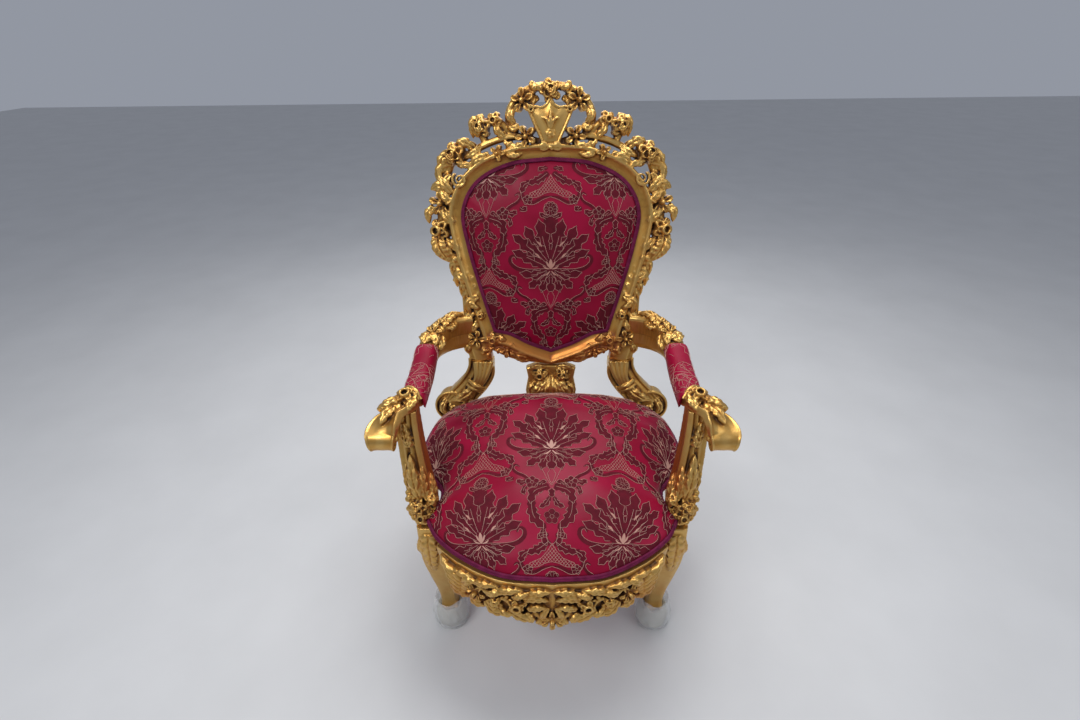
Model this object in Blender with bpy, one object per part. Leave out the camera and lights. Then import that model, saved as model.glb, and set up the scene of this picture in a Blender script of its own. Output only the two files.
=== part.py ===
"""A carved giltwood throne armchair with an upholstered back, seat and arm pads, in metres, +Z up, facing -Y."""
import math

import bmesh
import bpy
import numpy as np

# Seat and rails, y measured from the middle of the seat
SEAT_EDGE_Z = 0.432
SEAT_CROWN = 0.076
REAR_SWELL = 0.030
REAR_ARCH = 0.030
ARCH_HALF = 0.25
SEAT_RISE = 0.052
CUSHION_BASE_Z = 0.372
RAIL_TOP_Z = 0.418
RAIL_BOTTOM_Z = 0.345
RAIL_THICK = 0.030
RAIL_STEP_OUT = 0.012
SEAT_FRONT_Y = -0.360
SEAT_BACK_Y = 0.186

# Back, in its own plane: u across, v up the slope, w towards the sitter
BACK_RAKE = math.radians(11.8)
BACK_Y = 0.219
BACK_Z = 0.450
PANEL_TOP_V = 0.712
PANEL_TIP_V = 0.191
PANEL_HALF = 0.232
FRAME_BAND = 0.034
FRAME_BACK_W = -0.024
WAIST_V = 0.300
JOINT_V = 0.158

# Arms and legs
HAND_X = 0.3805
HAND_Y = -0.168
HAND_Z = 0.658
ROLL_RADIUS = 0.029
FOOT_X = 0.286
FOOT_Y = -0.188
REAR_FOOT_Y = 0.335
REAR_FOOT_X = 0.272
GAP = 0.0004

# Share of the facets kept where carving is joined
FRAME_KEEP = 0.18
CARVING_KEEP = 0.25

SIDES = (("left", -1.0), ("right", 1.0))


def unit(v):
    v = np.asarray(v, float)
    return v / np.maximum(np.linalg.norm(v, axis=-1, keepdims=True), 1e-12)


def spline(points, per_span):
    """A smooth curve through the points, ends included."""
    p = np.asarray(points, float)
    p = np.vstack([2 * p[0] - p[1], p, 2 * p[-1] - p[-2]])
    out = []
    for i in range(1, len(p) - 2):
        for t in np.arange(per_span) / per_span:
            a = 2 * p[i]
            b = (p[i + 1] - p[i - 1]) * t
            c = (2 * p[i - 1] - 5 * p[i] + 4 * p[i + 1] - p[i + 2]) * t * t
            d = (3 * p[i] - p[i - 1] - 3 * p[i + 1] + p[i + 2]) * t ** 3
            out.append((a + b + c + d) / 2)
    return np.array(out + [p[-2]])


def even(curve, count):
    """The curve resampled at equal lengths."""
    step = np.linalg.norm(np.diff(curve, axis=0), axis=1)
    along = np.concatenate([[0], np.cumsum(step)])
    at = np.linspace(0, along[-1], count)
    return np.stack([np.interp(at, along, curve[:, k]) for k in range(curve.shape[1])], axis=1)


def on_back(u, v, w=0.0):
    y = BACK_Y + v * math.sin(BACK_RAKE) - w * math.cos(BACK_RAKE)
    z = BACK_Z + v * math.cos(BACK_RAKE) + w * math.sin(BACK_RAKE)
    return np.array([u, y, z])


def carve(u, v, w=0.0):
    """A point of the back's carving. It is drawn round a panel 0.232 to each side and up to 0.712, and keeps to any other's edge."""
    u = u + (PANEL_HALF - 0.232) * np.clip(u / 0.232, -1, 1)
    v = v + (PANEL_TOP_V - 0.712) * np.clip((v - PANEL_TIP_V) / (0.712 - PANEL_TIP_V), 0, 1)
    return on_back(u, v, w)


BACK_UP = np.array([0.0, math.sin(BACK_RAKE), math.cos(BACK_RAKE)])
BACK_OUT = np.array([0.0, -math.cos(BACK_RAKE), math.sin(BACK_RAKE)])


def loft(rings, closed=False):
    """A solid skin over rings of equal length. An open one is capped at both ends."""
    rings = [np.asarray(r, float) for r in rings]
    n = len(rings[0])
    faces = []
    last = len(rings) if closed else len(rings) - 1
    for i in range(last):
        a = i * n
        b = ((i + 1) % len(rings)) * n
        for k in range(n):
            m = (k + 1) % n
            faces.append((a + k, a + m, b + m, b + k))
    if not closed:
        faces.append(tuple(range(n))[::-1])
        faces.append(tuple(range((len(rings) - 1) * n, len(rings) * n)))
    return np.vstack(rings), faces


def sweep(path, section, up=(0, 0, 1), scales=None, closed=False, twist=None):
    """A section of (side, up) points carried along a path."""
    path = np.asarray(path, float)
    if closed:
        tangent = np.roll(path, -1, axis=0) - np.roll(path, 1, axis=0)
    else:
        tangent = np.gradient(path, axis=0)
    tangent = unit(tangent)
    up = np.broadcast_to(np.asarray(up, float), path.shape)
    side = unit(np.cross(tangent, up))
    lift = unit(np.cross(side, tangent))
    section = np.asarray(section, float)
    rings = []
    for i in range(len(path)):
        s = section if scales is None else section * np.asarray(scales[i])
        if twist is not None:
            c, q = math.cos(twist[i]), math.sin(twist[i])
            s = s @ np.array([[c, q], [-q, c]])
        rings.append(path[i] + s[:, :1] * side[i] + s[:, 1:] * lift[i])
    return loft(rings, closed)


def oval(half_width, half_height, count=6):
    a = np.arange(count) / count * math.tau + math.pi / count
    return np.stack([half_width * np.cos(a), half_height * np.sin(a)], axis=1)


def placed(local, at, out, turn=0.0):
    """Local points with their z along out."""
    out = unit(out)
    side = unit(np.cross(out, BACK_UP if abs(out[2]) < 0.9 else np.array([0.0, 1.0, 0.0])))
    up = np.cross(side, out)
    c, s = math.cos(turn), math.sin(turn)
    x = c * side + s * up
    y = -s * side + c * up
    local = np.asarray(local, float)
    return np.asarray(at, float) + local[:, :1] * x + local[:, 1:2] * y + local[:, 2:] * out


def turned(rows, count, radius, height, lobes=0, depth=0.0, turn=0.0):
    """A round boss from (radius, height) rows, with petals where lobes are given."""
    rings = []
    for r, h in rows:
        a = np.arange(count) / count * math.tau + turn
        wave = 1 - depth * (0.5 - 0.5 * np.cos(lobes * a)) * min(1.0, r * 1.4)
        rings.append(np.stack([radius * r * wave * np.cos(a), radius * r * wave * np.sin(a), np.full(count, height * h)], axis=1))
    return loft(rings)


ROSE_ROWS = ((0.80, -0.55), (1.00, 0.15), (0.70, 0.66), (0.52, 0.50), (0.44, 0.98), (0.20, 0.70))
DAISY_ROWS = ((0.72, -0.55), (1.00, 0.20), (0.36, 0.40), (0.28, 0.85))
BUD_ROWS = ((0.70, -0.60), (1.00, 0.20), (0.50, 0.95))


def rose(at, out, radius, height, turn=0.0):
    v, f = turned(ROSE_ROWS, 8, radius, height)
    return placed(v, at, out, turn), f


def daisy(at, out, radius, height, turn=0.0):
    v, f = turned(DAISY_ROWS, 10, radius, height, lobes=5, depth=0.42)
    return placed(v, at, out, turn), f


def bud(at, out, radius, height, turn=0.0):
    v, f = turned(BUD_ROWS, 6, radius, height)
    return placed(v, at, out, turn), f


def leaf(path, out, width, thick, stations=5):
    """A pointed leaf with a raised spine along its path."""
    path = even(spline(path, 6), stations)
    t = np.linspace(0, 1, stations)
    spread = np.clip(np.sin(math.pi * (0.18 + 0.80 * t)), 0.08, 1)
    section = np.array([[-0.5 * width, 0], [0, thick], [0.5 * width, 0], [0, -thick]])
    scales = [(s, 0.35 + 0.65 * s) for s in spread]
    return sweep(path, section, up=out, scales=scales)


def scroll(middle, across, start, radius, turns, width, thick, shrink=0.62, steps=10):
    """A rolled end: a band curling in about its middle, in the plane square to across."""
    across = unit(across)
    a0 = unit(np.asarray(start) - across * np.dot(start, across))
    a1 = np.cross(across, a0)
    t = np.linspace(0, 1, steps)
    r = radius * (1 - shrink * t)
    ang = t * turns * math.tau
    path = np.asarray(middle) + r[:, None] * (np.cos(ang)[:, None] * a0 + np.sin(ang)[:, None] * a1)
    section = np.array([[-width / 2, -thick / 2], [width / 2, -thick / 2], [width / 2, thick / 2], [-width / 2, thick / 2]])
    ups = path - np.asarray(middle)
    return sweep(path, section, up=unit(ups), scales=[(1, 1 - 0.4 * s) for s in t])


def roundel(at, axis, radius, width, count=10):
    """A short drum across a scroll's eye."""
    rows = ((0.86, -0.5), (1.0, -0.36), (1.0, 0.36), (0.86, 0.5))
    v, f = turned(rows, count, radius, width)
    return placed(v, at, axis), f


def mirrored(solid):
    v, f = solid
    return v * np.array([-1.0, 1.0, 1.0]), [tuple(reversed(face)) for face in f]


def both(solids):
    return list(solids) + [mirrored(s) for s in solids]


# Building objects


def new_object(name, solid):
    verts, faces = solid
    mesh = bpy.data.meshes.new(name)
    mesh.from_pydata([tuple(v) for v in verts], [], faces)
    work = bmesh.new()
    work.from_mesh(mesh)
    bmesh.ops.recalc_face_normals(work, faces=work.faces)
    bmesh.ops.triangulate(work, faces=work.faces)
    work.to_mesh(mesh)
    work.free()
    obj = bpy.data.objects.new(name, mesh)
    bpy.context.scene.collection.objects.link(obj)
    return obj


def settle(obj):
    """The object's mesh with its modifiers applied."""
    bpy.context.view_layer.update()
    graph = bpy.context.evaluated_depsgraph_get()
    mesh = bpy.data.meshes.new_from_object(obj.evaluated_get(graph), depsgraph=graph)
    mesh.name = obj.name
    obj.modifiers.clear()
    old = obj.data
    obj.data = mesh
    bpy.data.meshes.remove(old)
    obj.data.name = obj.name


def combine(obj, other, operation):
    """A Boolean. The Exact solver leaves open seams between this many carved shapes, so Manifold does it."""
    modifier = obj.modifiers.new(operation.lower(), "BOOLEAN")
    modifier.operation = operation
    modifier.solver = "MANIFOLD"
    modifier.object = other
    settle(obj)


def drop(obj):
    mesh = obj.data
    bpy.data.objects.remove(obj)
    bpy.data.meshes.remove(mesh)


def merged(name, solids):
    """One mesh from shapes that overlap."""
    parts = [new_object(f"{name}.{i}", s) for i, s in enumerate(solids)]
    while len(parts) > 1:
        paired = []
        for i in range(0, len(parts) - 1, 2):
            combine(parts[i], parts[i + 1], "UNION")
            drop(parts[i + 1])
            paired.append(parts[i])
        if len(parts) % 2:
            paired.append(parts[-1])
        parts = paired
    fill_hollows(parts[0])
    return parts[0]


def joined(name, body, carving, keep):
    """An exact body and its carving as one piece, with only a share of the carving's small facets kept."""
    relief = merged(name + ".relief", carving)
    modifier = relief.modifiers.new("fewer facets", "DECIMATE")
    modifier.ratio = keep
    settle(relief)
    if not body:
        obj = relief
    else:
        obj = merged(name, body)
        combine(obj, relief, "UNION")
        drop(relief)
        fill_hollows(obj)
    obj.name = name
    obj.data.name = name
    return obj


def fitted(obj, others, gap=GAP):
    """The object cut back to leave a small gap round its neighbours."""
    for other in others:
        copy = other.copy()
        copy.data = other.data.copy()
        bpy.context.scene.collection.objects.link(copy)
        work = bmesh.new()
        work.from_mesh(copy.data)
        work.normal_update()
        for v in work.verts:
            v.co += v.normal * gap * 2
        work.to_mesh(copy.data)
        work.free()
        combine(obj, copy, "DIFFERENCE")
        drop(copy)
    keep_largest(obj)
    return obj


def shells(work):
    """The vertex groups of a mesh that are joined by edges."""
    seen = set()
    groups = []
    for v in work.verts:
        if v.index in seen:
            continue
        stack, group = [v], []
        seen.add(v.index)
        while stack:
            a = stack.pop()
            group.append(a)
            for e in a.link_edges:
                b = e.other_vert(a)
                if b.index not in seen:
                    seen.add(b.index)
                    stack.append(b)
        groups.append(group)
    return groups


def signed_volume(group):
    total = 0.0
    for face in {f for v in group for f in v.link_faces}:
        p = [v.co for v in face.verts]
        for i in range(1, len(p) - 1):
            total += p[0].dot(p[i].cross(p[i + 1])) / 6
    return total


def keep_largest(obj):
    """Removes crumbs that a cut has left loose, and hollows closed in by a join."""
    work = bmesh.new()
    work.from_mesh(obj.data)
    groups = sorted(shells(work), key=signed_volume)
    loose = [v for g in groups[:-1] for v in g]
    bmesh.ops.delete(work, geom=loose, context="VERTS")
    work.to_mesh(obj.data)
    work.free()


def fill_hollows(obj):
    """Removes the hollows that joined shapes close in between them."""
    work = bmesh.new()
    work.from_mesh(obj.data)
    inner = [v for g in shells(work) if signed_volume(g) < 0 for v in g]
    bmesh.ops.delete(work, geom=inner, context="VERTS")
    work.to_mesh(obj.data)
    work.free()


# Outlines

PANEL_RIGHT = ((0.0, 1.0), (0.45, 0.977), (0.82, 0.896), (1.0, 0.756), (0.957, 0.574), (0.83, 0.340), (0.69, 0.117))
PANEL_FOOT = ((0.69, 0.117), (0.50, 0.098), (0.27, 0.045), (0.0, 0.0))


def panel_outline(count=40, spread=0.0):
    """The upholstered panel's edge, clockwise from the top, moved out by spread."""
    height = PANEL_TOP_V - PANEL_TIP_V
    right = spline(PANEL_RIGHT, 8)
    foot = spline(PANEL_FOOT, 6)
    half = np.vstack([even(right, count // 2 - 6), even(foot, 8)[1:]])
    half = half * [PANEL_HALF, height] + [0, PANEL_TIP_V]
    loop = np.vstack([half, (half * [-1, 1])[::-1][1:-1]])
    if spread:
        ahead = unit(np.roll(loop, -1, axis=0) - loop)
        behind = unit(loop - np.roll(loop, 1, axis=0))
        along = unit(ahead + behind)
        out = np.stack([-along[:, 1], along[:, 0]], axis=1)
        stretch = 1 / np.clip(np.sum(ahead * along, axis=1), 0.7, 1)
        loop = loop + out * spread * stretch[:, None]
    return loop


SEAT_FRONT = ((0.0, 0.0), (0.110, 0.010), (0.200, 0.051), (0.263, 0.099), (0.293, 0.145))
SEAT_SIDE = ((0.293, -0.215), (0.271, -0.158), (0.276, -0.118), (0.306, -0.080), (0.337, -0.015), (0.341, 0.045),
             (0.322, 0.110), (0.272, 0.162), (0.200, 0.182), (0.100, 0.186), (0.0, 0.186))
RAIL_SIDE = ((0.293, -0.215), (0.327, -0.160), (0.338, -0.080), (0.349, 0.000), (0.350, 0.060),
             (0.332, 0.128), (0.285, 0.196), (0.200, 0.232), (0.100, 0.240), (0.0, 0.240))


def seat_outline(count=20, spread=0.0, front=SEAT_FRONT, side=SEAT_SIDE):
    """The cushion's edge, from the front centre round the right side, closed."""
    a = spline([(x, SEAT_FRONT_Y + y) for x, y in front], 8)
    b = spline(side, 8)
    half = np.vstack([even(a, count // 3 + 1), even(b, count - count // 3)[1:]])
    loop = np.vstack([half, (half * [-1, 1])[::-1][1:-1]])
    if spread:
        ahead = unit(np.roll(loop, -1, axis=0) - loop)
        behind = unit(loop - np.roll(loop, 1, axis=0))
        along = unit(ahead + behind)
        out = np.stack([along[:, 1], -along[:, 0]], axis=1)
        loop = loop + out * spread
    return loop


def edge_z(y):
    """The seat edge rises a little from front to back."""
    return SEAT_EDGE_Z + SEAT_RISE * (y - SEAT_FRONT_Y) / (SEAT_BACK_Y - SEAT_FRONT_Y)


# Pieces


def plate(points, w_back, w_front, shrink=1.0):
    """A flat piece of the back with an outline in (u, v), its front edges eased by shrink."""
    pts = np.asarray(points, float)
    mid = pts.mean(axis=0)
    inner = mid + (pts - mid) * shrink
    rings = [[carve(u, v, w_back) for u, v in pts], [carve(u, v, w_front * 0.6) for u, v in pts]]
    rings.append([carve(u, v, w_front) for u, v in inner])
    return loft(rings)


def band(points, half_width, w_back, w_front, per_span=3):
    """A flat-backed strip of the back along a curve given in (u, v)."""
    line = spline(points, per_span)
    path = np.array([carve(u, v) for u, v in line])
    section = [(-half_width, w_back), (half_width, w_back), (half_width, w_front * 0.5), (half_width * 0.5, w_front),
               (-half_width * 0.5, w_front), (-half_width, w_front * 0.5)]
    return sweep(path, section, up=BACK_OUT)


def stem(points, radius, per_span=3, count=5, end=1.0):
    """A round stem through (u, v, w) points."""
    line = spline(points, per_span)
    path = np.array([carve(*p) for p in line])
    scales = [(1 + (end - 1) * t,) * 2 for t in np.linspace(0, 1, len(path))]
    return sweep(path, oval(radius, radius, count), up=BACK_OUT, scales=scales)


def back_leaf(points, width, thick=0.009):
    """A leaf of the back's carving through (u, v, w) points."""
    return leaf([carve(*p) for p in points], BACK_OUT, width, thick)


def back_flower(kind, u, v, w, radius, height=None, lean=0.25, turn=0.0):
    shape = {"rose": rose, "daisy": daisy, "bud": bud}[kind]
    out = BACK_OUT + lean * np.sign(u) * np.array([1.0, 0, 0])
    return shape(carve(u, v, w), out, radius, height or radius * 0.75, turn)


def rim_u(v):
    """The half width, at a height on its side, of the panel that the carving is drawn round."""
    right = spline(PANEL_RIGHT, 8) * [0.232, 0.712 - PANEL_TIP_V] + [0, PANEL_TIP_V]
    side = right[right[:, 1] < PANEL_TIP_V + 0.76 * (0.712 - PANEL_TIP_V)]
    order = np.argsort(side[:, 1])
    return float(np.interp(v, side[order, 1], side[order, 0]))


RING_SECTION = ((0.0005, 0.010), (0.009, 0.009), (0.018, 0.013), (FRAME_BAND, 0.025),
                (FRAME_BAND + 0.006, 0.019), (FRAME_BAND + 0.006, FRAME_BACK_W), (0.0005, FRAME_BACK_W))
RING_COUNT = 34

CREST = (("rose", 0.0, 0.872, 0.010, 0.029), ("daisy", 0.070, 0.850, 0.010, 0.030), ("bud", 0.040, 0.878, 0.008, 0.019),
         ("daisy", 0.062, 0.767, 0.014, 0.027), ("rose", 0.172, 0.790, 0.010, 0.027), ("bud", 0.136, 0.803, 0.008, 0.020),
         ("daisy", 0.136, 0.728, 0.018, 0.020), ("rose", 0.250, 0.726, 0.010, 0.031))
GARLAND = (("daisy", 0.605, 0.060, 0.033), ("rose", 0.536, 0.068, 0.031), ("bud", 0.458, 0.048, 0.022),
           ("bud", 0.330, 0.046, 0.015))
CLUSTER = (("daisy", 0.216, 0.226, 0.012, 0.027), ("rose", 0.168, 0.222, 0.012, 0.024),
           ("daisy", 0.126, 0.193, 0.012, 0.027), ("bud", 0.196, 0.186, 0.010, 0.017), ("bud", 0.156, 0.184, 0.010, 0.014))


def back_frame():
    outer_loops = [panel_outline(RING_COUNT, o) for o, _ in RING_SECTION]
    rings = []
    for i in range(RING_COUNT):
        rings.append([on_back(loop[i][0], loop[i][1], w) for loop, (_, w) in zip(outer_loops, RING_SECTION)])
    ring = loft(rings, closed=True)

    lower = ((0.228, 0.250), (0.170, 0.212), (0.100, 0.180), (0.0, 0.166))
    stile = ((0.226, 0.365), (0.225, WAIST_V), (0.222, 0.240), (0.200, JOINT_V))
    right = [band(lower, 0.022, FRAME_BACK_W, 0.012), band(stile, 0.026, FRAME_BACK_W, 0.014)]

    garland = [(rim_u(v) + out, v, 0.0) for v, out in ((0.330, 0.046), (0.400, 0.047), (0.470, 0.056), (0.540, 0.062))]
    garland += [(0.290, 0.605, 0.0), (0.278, 0.660, 0.0), (0.262, 0.705, 0.0)]
    right.append(stem(garland, 0.013, per_span=2))
    for kind, v, out, radius in GARLAND:
        right.append(back_flower(kind, rim_u(v) + out, v, 0.006, radius, lean=0.45))

    # The shell leaf, its serrated followers and the struts that tie the garland to the band
    right.append(back_leaf([(0.302, 0.516, 0.012), (0.292, 0.480, 0.018), (0.268, 0.446, 0.010)], 0.040, 0.012))
    for v, out, reach in ((0.432, 0.060, 0.024), (0.402, 0.056, 0.022), (0.374, 0.050, 0.020)):
        u = rim_u(v) + out
        right.append(back_leaf([(u - 0.022, v + 0.030, 0.008), (u, v, 0.010), (u + 0.004, v - reach, 0.0)], 0.026))
    for v, tilt in ((0.640, 0.020), (0.572, 0.018), (0.500, 0.016), (0.410, 0.014)):
        inner = rim_u(min(v, 0.58)) + FRAME_BAND - 0.004
        right.append(back_leaf([(inner, v + tilt, 0.010), (inner + 0.020, v, 0.014), (inner + 0.042, v - tilt, 0.008)], 0.026))
    right.append(back_leaf([(0.262, 0.632, 0.004), (0.292, 0.650, 0.014), (0.318, 0.640, 0.002)], 0.034))

    # The corner scroll under each outer rose
    right.append(stem([(0.262, 0.705, 0.006), (0.288, 0.694, 0.008), (0.286, 0.664, 0.008), (0.256, 0.652, 0.010)], 0.011, 2))
    right.append(roundel(carve(0.237, 0.664, 0.010), BACK_OUT, 0.018, 0.030, 8))
    right.append(back_leaf([(0.250, 0.730, 0.004), (0.278, 0.716, 0.010), (0.287, 0.684, 0.002)], 0.030))

    # The crest: curved stems, hoop, shield, flowers and leaves
    right.append(stem([(0.020, 0.752, 0.0), (0.085, 0.768, 0.004), (0.150, 0.756, 0.004), (0.210, 0.728, 0.002),
                       (0.245, 0.700, 0.0)], 0.012, 2))
    right.append(stem([(0.085, 0.768, -0.002), (0.106, 0.812, 0.0), (0.088, 0.852, 0.0), (0.048, 0.878, 0.0),
                       (-0.004, 0.886, 0.0)], 0.012, 2))
    right.append(stem([(0.095, 0.770, 0.0), (0.128, 0.798, 0.002), (0.160, 0.802, 0.002), (0.178, 0.784, 0.0),
                       (0.166, 0.752, 0.0)], 0.012, 2))
    for row in CREST[1:]:
        right.append(back_flower(row[0], row[1], row[2], row[3], row[4]))
    right.append(back_leaf([(0.196, 0.742, 0.004), (0.226, 0.756, 0.014), (0.246, 0.744, 0.004)], 0.026))
    right.append(back_leaf([(0.168, 0.812, 0.0), (0.192, 0.800, 0.008), (0.198, 0.768, 0.0)], 0.026))
    right.append(back_leaf([(0.094, 0.838, 0.0), (0.100, 0.814, 0.012), (0.086, 0.790, 0.0)], 0.026))
    right.append(back_leaf([(0.100, 0.738, 0.012), (0.078, 0.742, 0.018), (0.052, 0.744, 0.010)], 0.022))
    right.append(back_leaf([(0.160, 0.722, 0.012), (0.190, 0.712, 0.018), (0.214, 0.694, 0.008)], 0.026))

    # Ribbon leaf and small rose at the waist, flower cluster at the lower corner
    right.append(back_leaf([(0.216, 0.350, 0.010), (0.230, 0.318, 0.020), (0.222, 0.284, 0.012)], 0.028))
    right.append(back_flower("bud", 0.205, 0.296, 0.010, 0.016))
    right.append(back_leaf([(0.216, 0.282, 0.010), (0.232, 0.264, 0.016), (0.240, 0.244, 0.008)], 0.026))
    for row in CLUSTER:
        right.append(back_flower(*row))
    right.append(back_leaf([(0.108, 0.178, 0.008), (0.080, 0.170, 0.016), (0.050, 0.160, 0.006)], 0.026))

    shapes = both(right)
    shapes.append(back_flower(*CREST[0]))
    shield = [(0.0, 0.866), (0.020, 0.842), (0.056, 0.832), (0.046, 0.800), (0.028, 0.772), (0.016, 0.738)]
    shield = shield + [(-u, v) for u, v in shield[::-1][:-1]]
    shapes.append(plate(shield[::-1], -0.014, 0.024, 0.72))
    return joined("back_frame", [ring], shapes, FRAME_KEEP)


def back_splat():
    half = [(0.050, 0.1415), (0.074, 0.132), (0.068, 0.100), (0.076, 0.060), (0.070, 0.010), (0.070, -0.0325)]
    outline = [(-u, v) for u, v in half] + half[::-1]
    body = [plate(outline, -0.018, 0.012, 0.92)]
    shapes = []
    for side in (-1, 1):
        shapes.append(back_flower("rose", side * 0.032, 0.112, 0.010, 0.025, lean=0.1))
    for k in (-1.6, 0, 1.6):
        tip = (k * 0.034, 0.030 + 0.012 * abs(k), 0.006)
        shapes.append(back_leaf([(k * 0.008, 0.100, 0.006), (k * 0.022, 0.074, 0.022), tip], 0.036))
    return joined("back_splat", body, shapes, CARVING_KEEP)


def rear_leg(name, sign):
    line = spline([(0.286, 0.006, 0.004), (0.262, 0.040, 0.004), (0.226, 0.080, 0.002), (0.203, 0.120, 0.0),
                   (0.200, JOINT_V - GAP, 0.0)], 3)
    path = np.array([carve(*p) for p in line])
    section = [(-0.036, -0.038), (0.050, -0.038), (0.050, 0.000), (0.026, 0.020), (-0.036, 0.020)]
    widen = np.interp(np.linspace(0, 1, len(path)), [0, 0.3, 0.75, 1], [1.0, 0.86, 0.90, 1.0])
    shapes = [sweep(path, section, up=BACK_OUT, scales=[(s, 1) for s in widen])]
    shapes.append(roundel(carve(0.304, 0.010, -0.008), BACK_OUT, 0.049, 0.058, 12))
    # Three stems bound by a ribbon, and a small scroll of leaf below it
    for k in (-1, 0, 1):
        shapes.append(stem([(0.200 + 0.022 * k, 0.150, 0.020), (0.208 + 0.012 * k, 0.110, 0.024),
                            (0.226 + 0.006 * k, 0.078 + 0.004 * k, 0.024)], 0.0085, 2))
    shapes.append(stem([(0.206, 0.070, 0.022), (0.224, 0.082, 0.028), (0.242, 0.092, 0.022)], 0.008, 2))
    shapes.append(back_leaf([(0.228, 0.078, 0.022), (0.256, 0.044, 0.026), (0.286, 0.012, 0.020)], 0.034))
    shapes.append(back_flower("bud", 0.290, 0.006, 0.018, 0.018, 0.012, lean=0))
    rows = ((0.462, 0.290, 0.232, 0.022), (0.420, 0.288, 0.216, 0.027), (0.345, 0.286, 0.212, 0.027),
            (0.240, 0.282, 0.232, 0.024), (0.120, 0.276, 0.274, 0.020), (0.030, REAR_FOOT_X, 0.322, 0.019),
            (0.0, REAR_FOOT_X, REAR_FOOT_Y, 0.018))
    return joined(name, handed([leg_post(rows)], sign), handed(shapes, sign), CARVING_KEEP)


def handed(solids, sign):
    """Shapes made for the right side, mirrored where sign is negative."""
    return [mirrored(s) for s in solids] if sign < 0 else list(solids)


def leg_post(rows, ease=0.72):
    """A post from (z, x, y, half width) rows with eased corners and level ends."""
    corners = [(1, -ease), (1, ease), (ease, 1), (-ease, 1), (-1, ease), (-1, -ease), (-ease, -1), (ease, -1)]
    rings = [[(x + h * a, y + h * b, z) for a, b in corners] for z, x, y, h in rows]
    return loft(rings)


def front_leg(name, sign):
    rows = ((RAIL_TOP_Z, 0.300, -0.190, 0.031), (0.350, 0.299, -0.192, 0.033), (0.300, 0.296, -0.196, 0.033),
            (0.230, 0.292, -0.194, 0.027), (0.150, 0.287, -0.186, 0.022), (0.095, FOOT_X, -0.182, 0.021),
            (0.060, FOOT_X, -0.184, 0.025), (0.022, FOOT_X, FOOT_Y, 0.029), (0.0, FOOT_X, FOOT_Y, 0.026))
    shapes = []
    for lift, reach in ((0.0, 0.010), (-0.030, 0.0)):
        path = [(0.300, -0.221, 0.395 + lift), (0.302, -0.227, 0.360 + lift), (0.299, -0.221, 0.312 + lift)]
        shapes.append(leaf(path, (0.2, -1, 0), 0.034 + reach, 0.018))
    return joined(name, handed([leg_post(rows)], sign), handed(shapes, sign), CARVING_KEEP)


def foot_wrap(name, sign, leg):
    rows = ((0.003, 0.66), (0.014, 0.96), (0.046, 1.06), (0.080, 0.94), (0.104, 0.80))
    count = 11
    rings = []
    for k, (z, r) in enumerate(rows):
        a = np.arange(count) / count * math.tau
        crease = 1 + 0.07 * np.cos(5 * a + 1.7 * k) + 0.05 * np.cos(3 * a - 2.3 * k + sign)
        radius = 0.047 * r * crease
        ring = np.stack([sign * FOOT_X + radius * np.cos(a), FOOT_Y + 0.004 + radius * np.sin(a), np.full(count, z)], axis=1)
        rings.append(ring)
    return fitted(new_object(name, loft(rings)), [leg], gap=0.0008)


def hand_line(count=11):
    """The hand's middle line from the pad's end, over the front and round into its roll, and how wide it is."""
    lead = [(0.322, -0.066, 0.704), (0.330, -0.092, 0.711), (0.350, -0.118, 0.707), (HAND_X - 0.010, HAND_Y + 0.016, HAND_Z + ROLL_RADIUS + 0.008)]
    turns = np.radians(np.linspace(72, -250, count))
    reach = np.interp(turns, np.radians([-250, -150, 72]), [0.015, 0.021, ROLL_RADIUS - 0.006])
    roll = [(HAND_X, HAND_Y - r * math.cos(a), HAND_Z + r * math.sin(a)) for a, r in zip(turns, reach)]
    path = np.array(lead + roll)
    widths = np.interp(np.arange(len(path)), [0, 1, 2, 4, len(path) - 1], [0.023, 0.027, 0.037, 0.043, 0.040])
    return path, widths


def arm_line(per_span=3):
    """The arm from the back to the pad's front, with how far it hangs below its line."""
    line = [(0.232, 0.276, 0.730, 0.088), (0.262, 0.262, 0.732, 0.084), (0.298, 0.224, 0.736, 0.078), (0.321, 0.165, 0.730, 0.056),
            (0.327, 0.100, 0.712, 0.026), (0.324, 0.020, 0.702, 0.018), (0.321, -0.060, 0.702, 0.018), (0.328, -0.086, 0.708, 0.018)]
    return spline(line, per_span)


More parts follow.
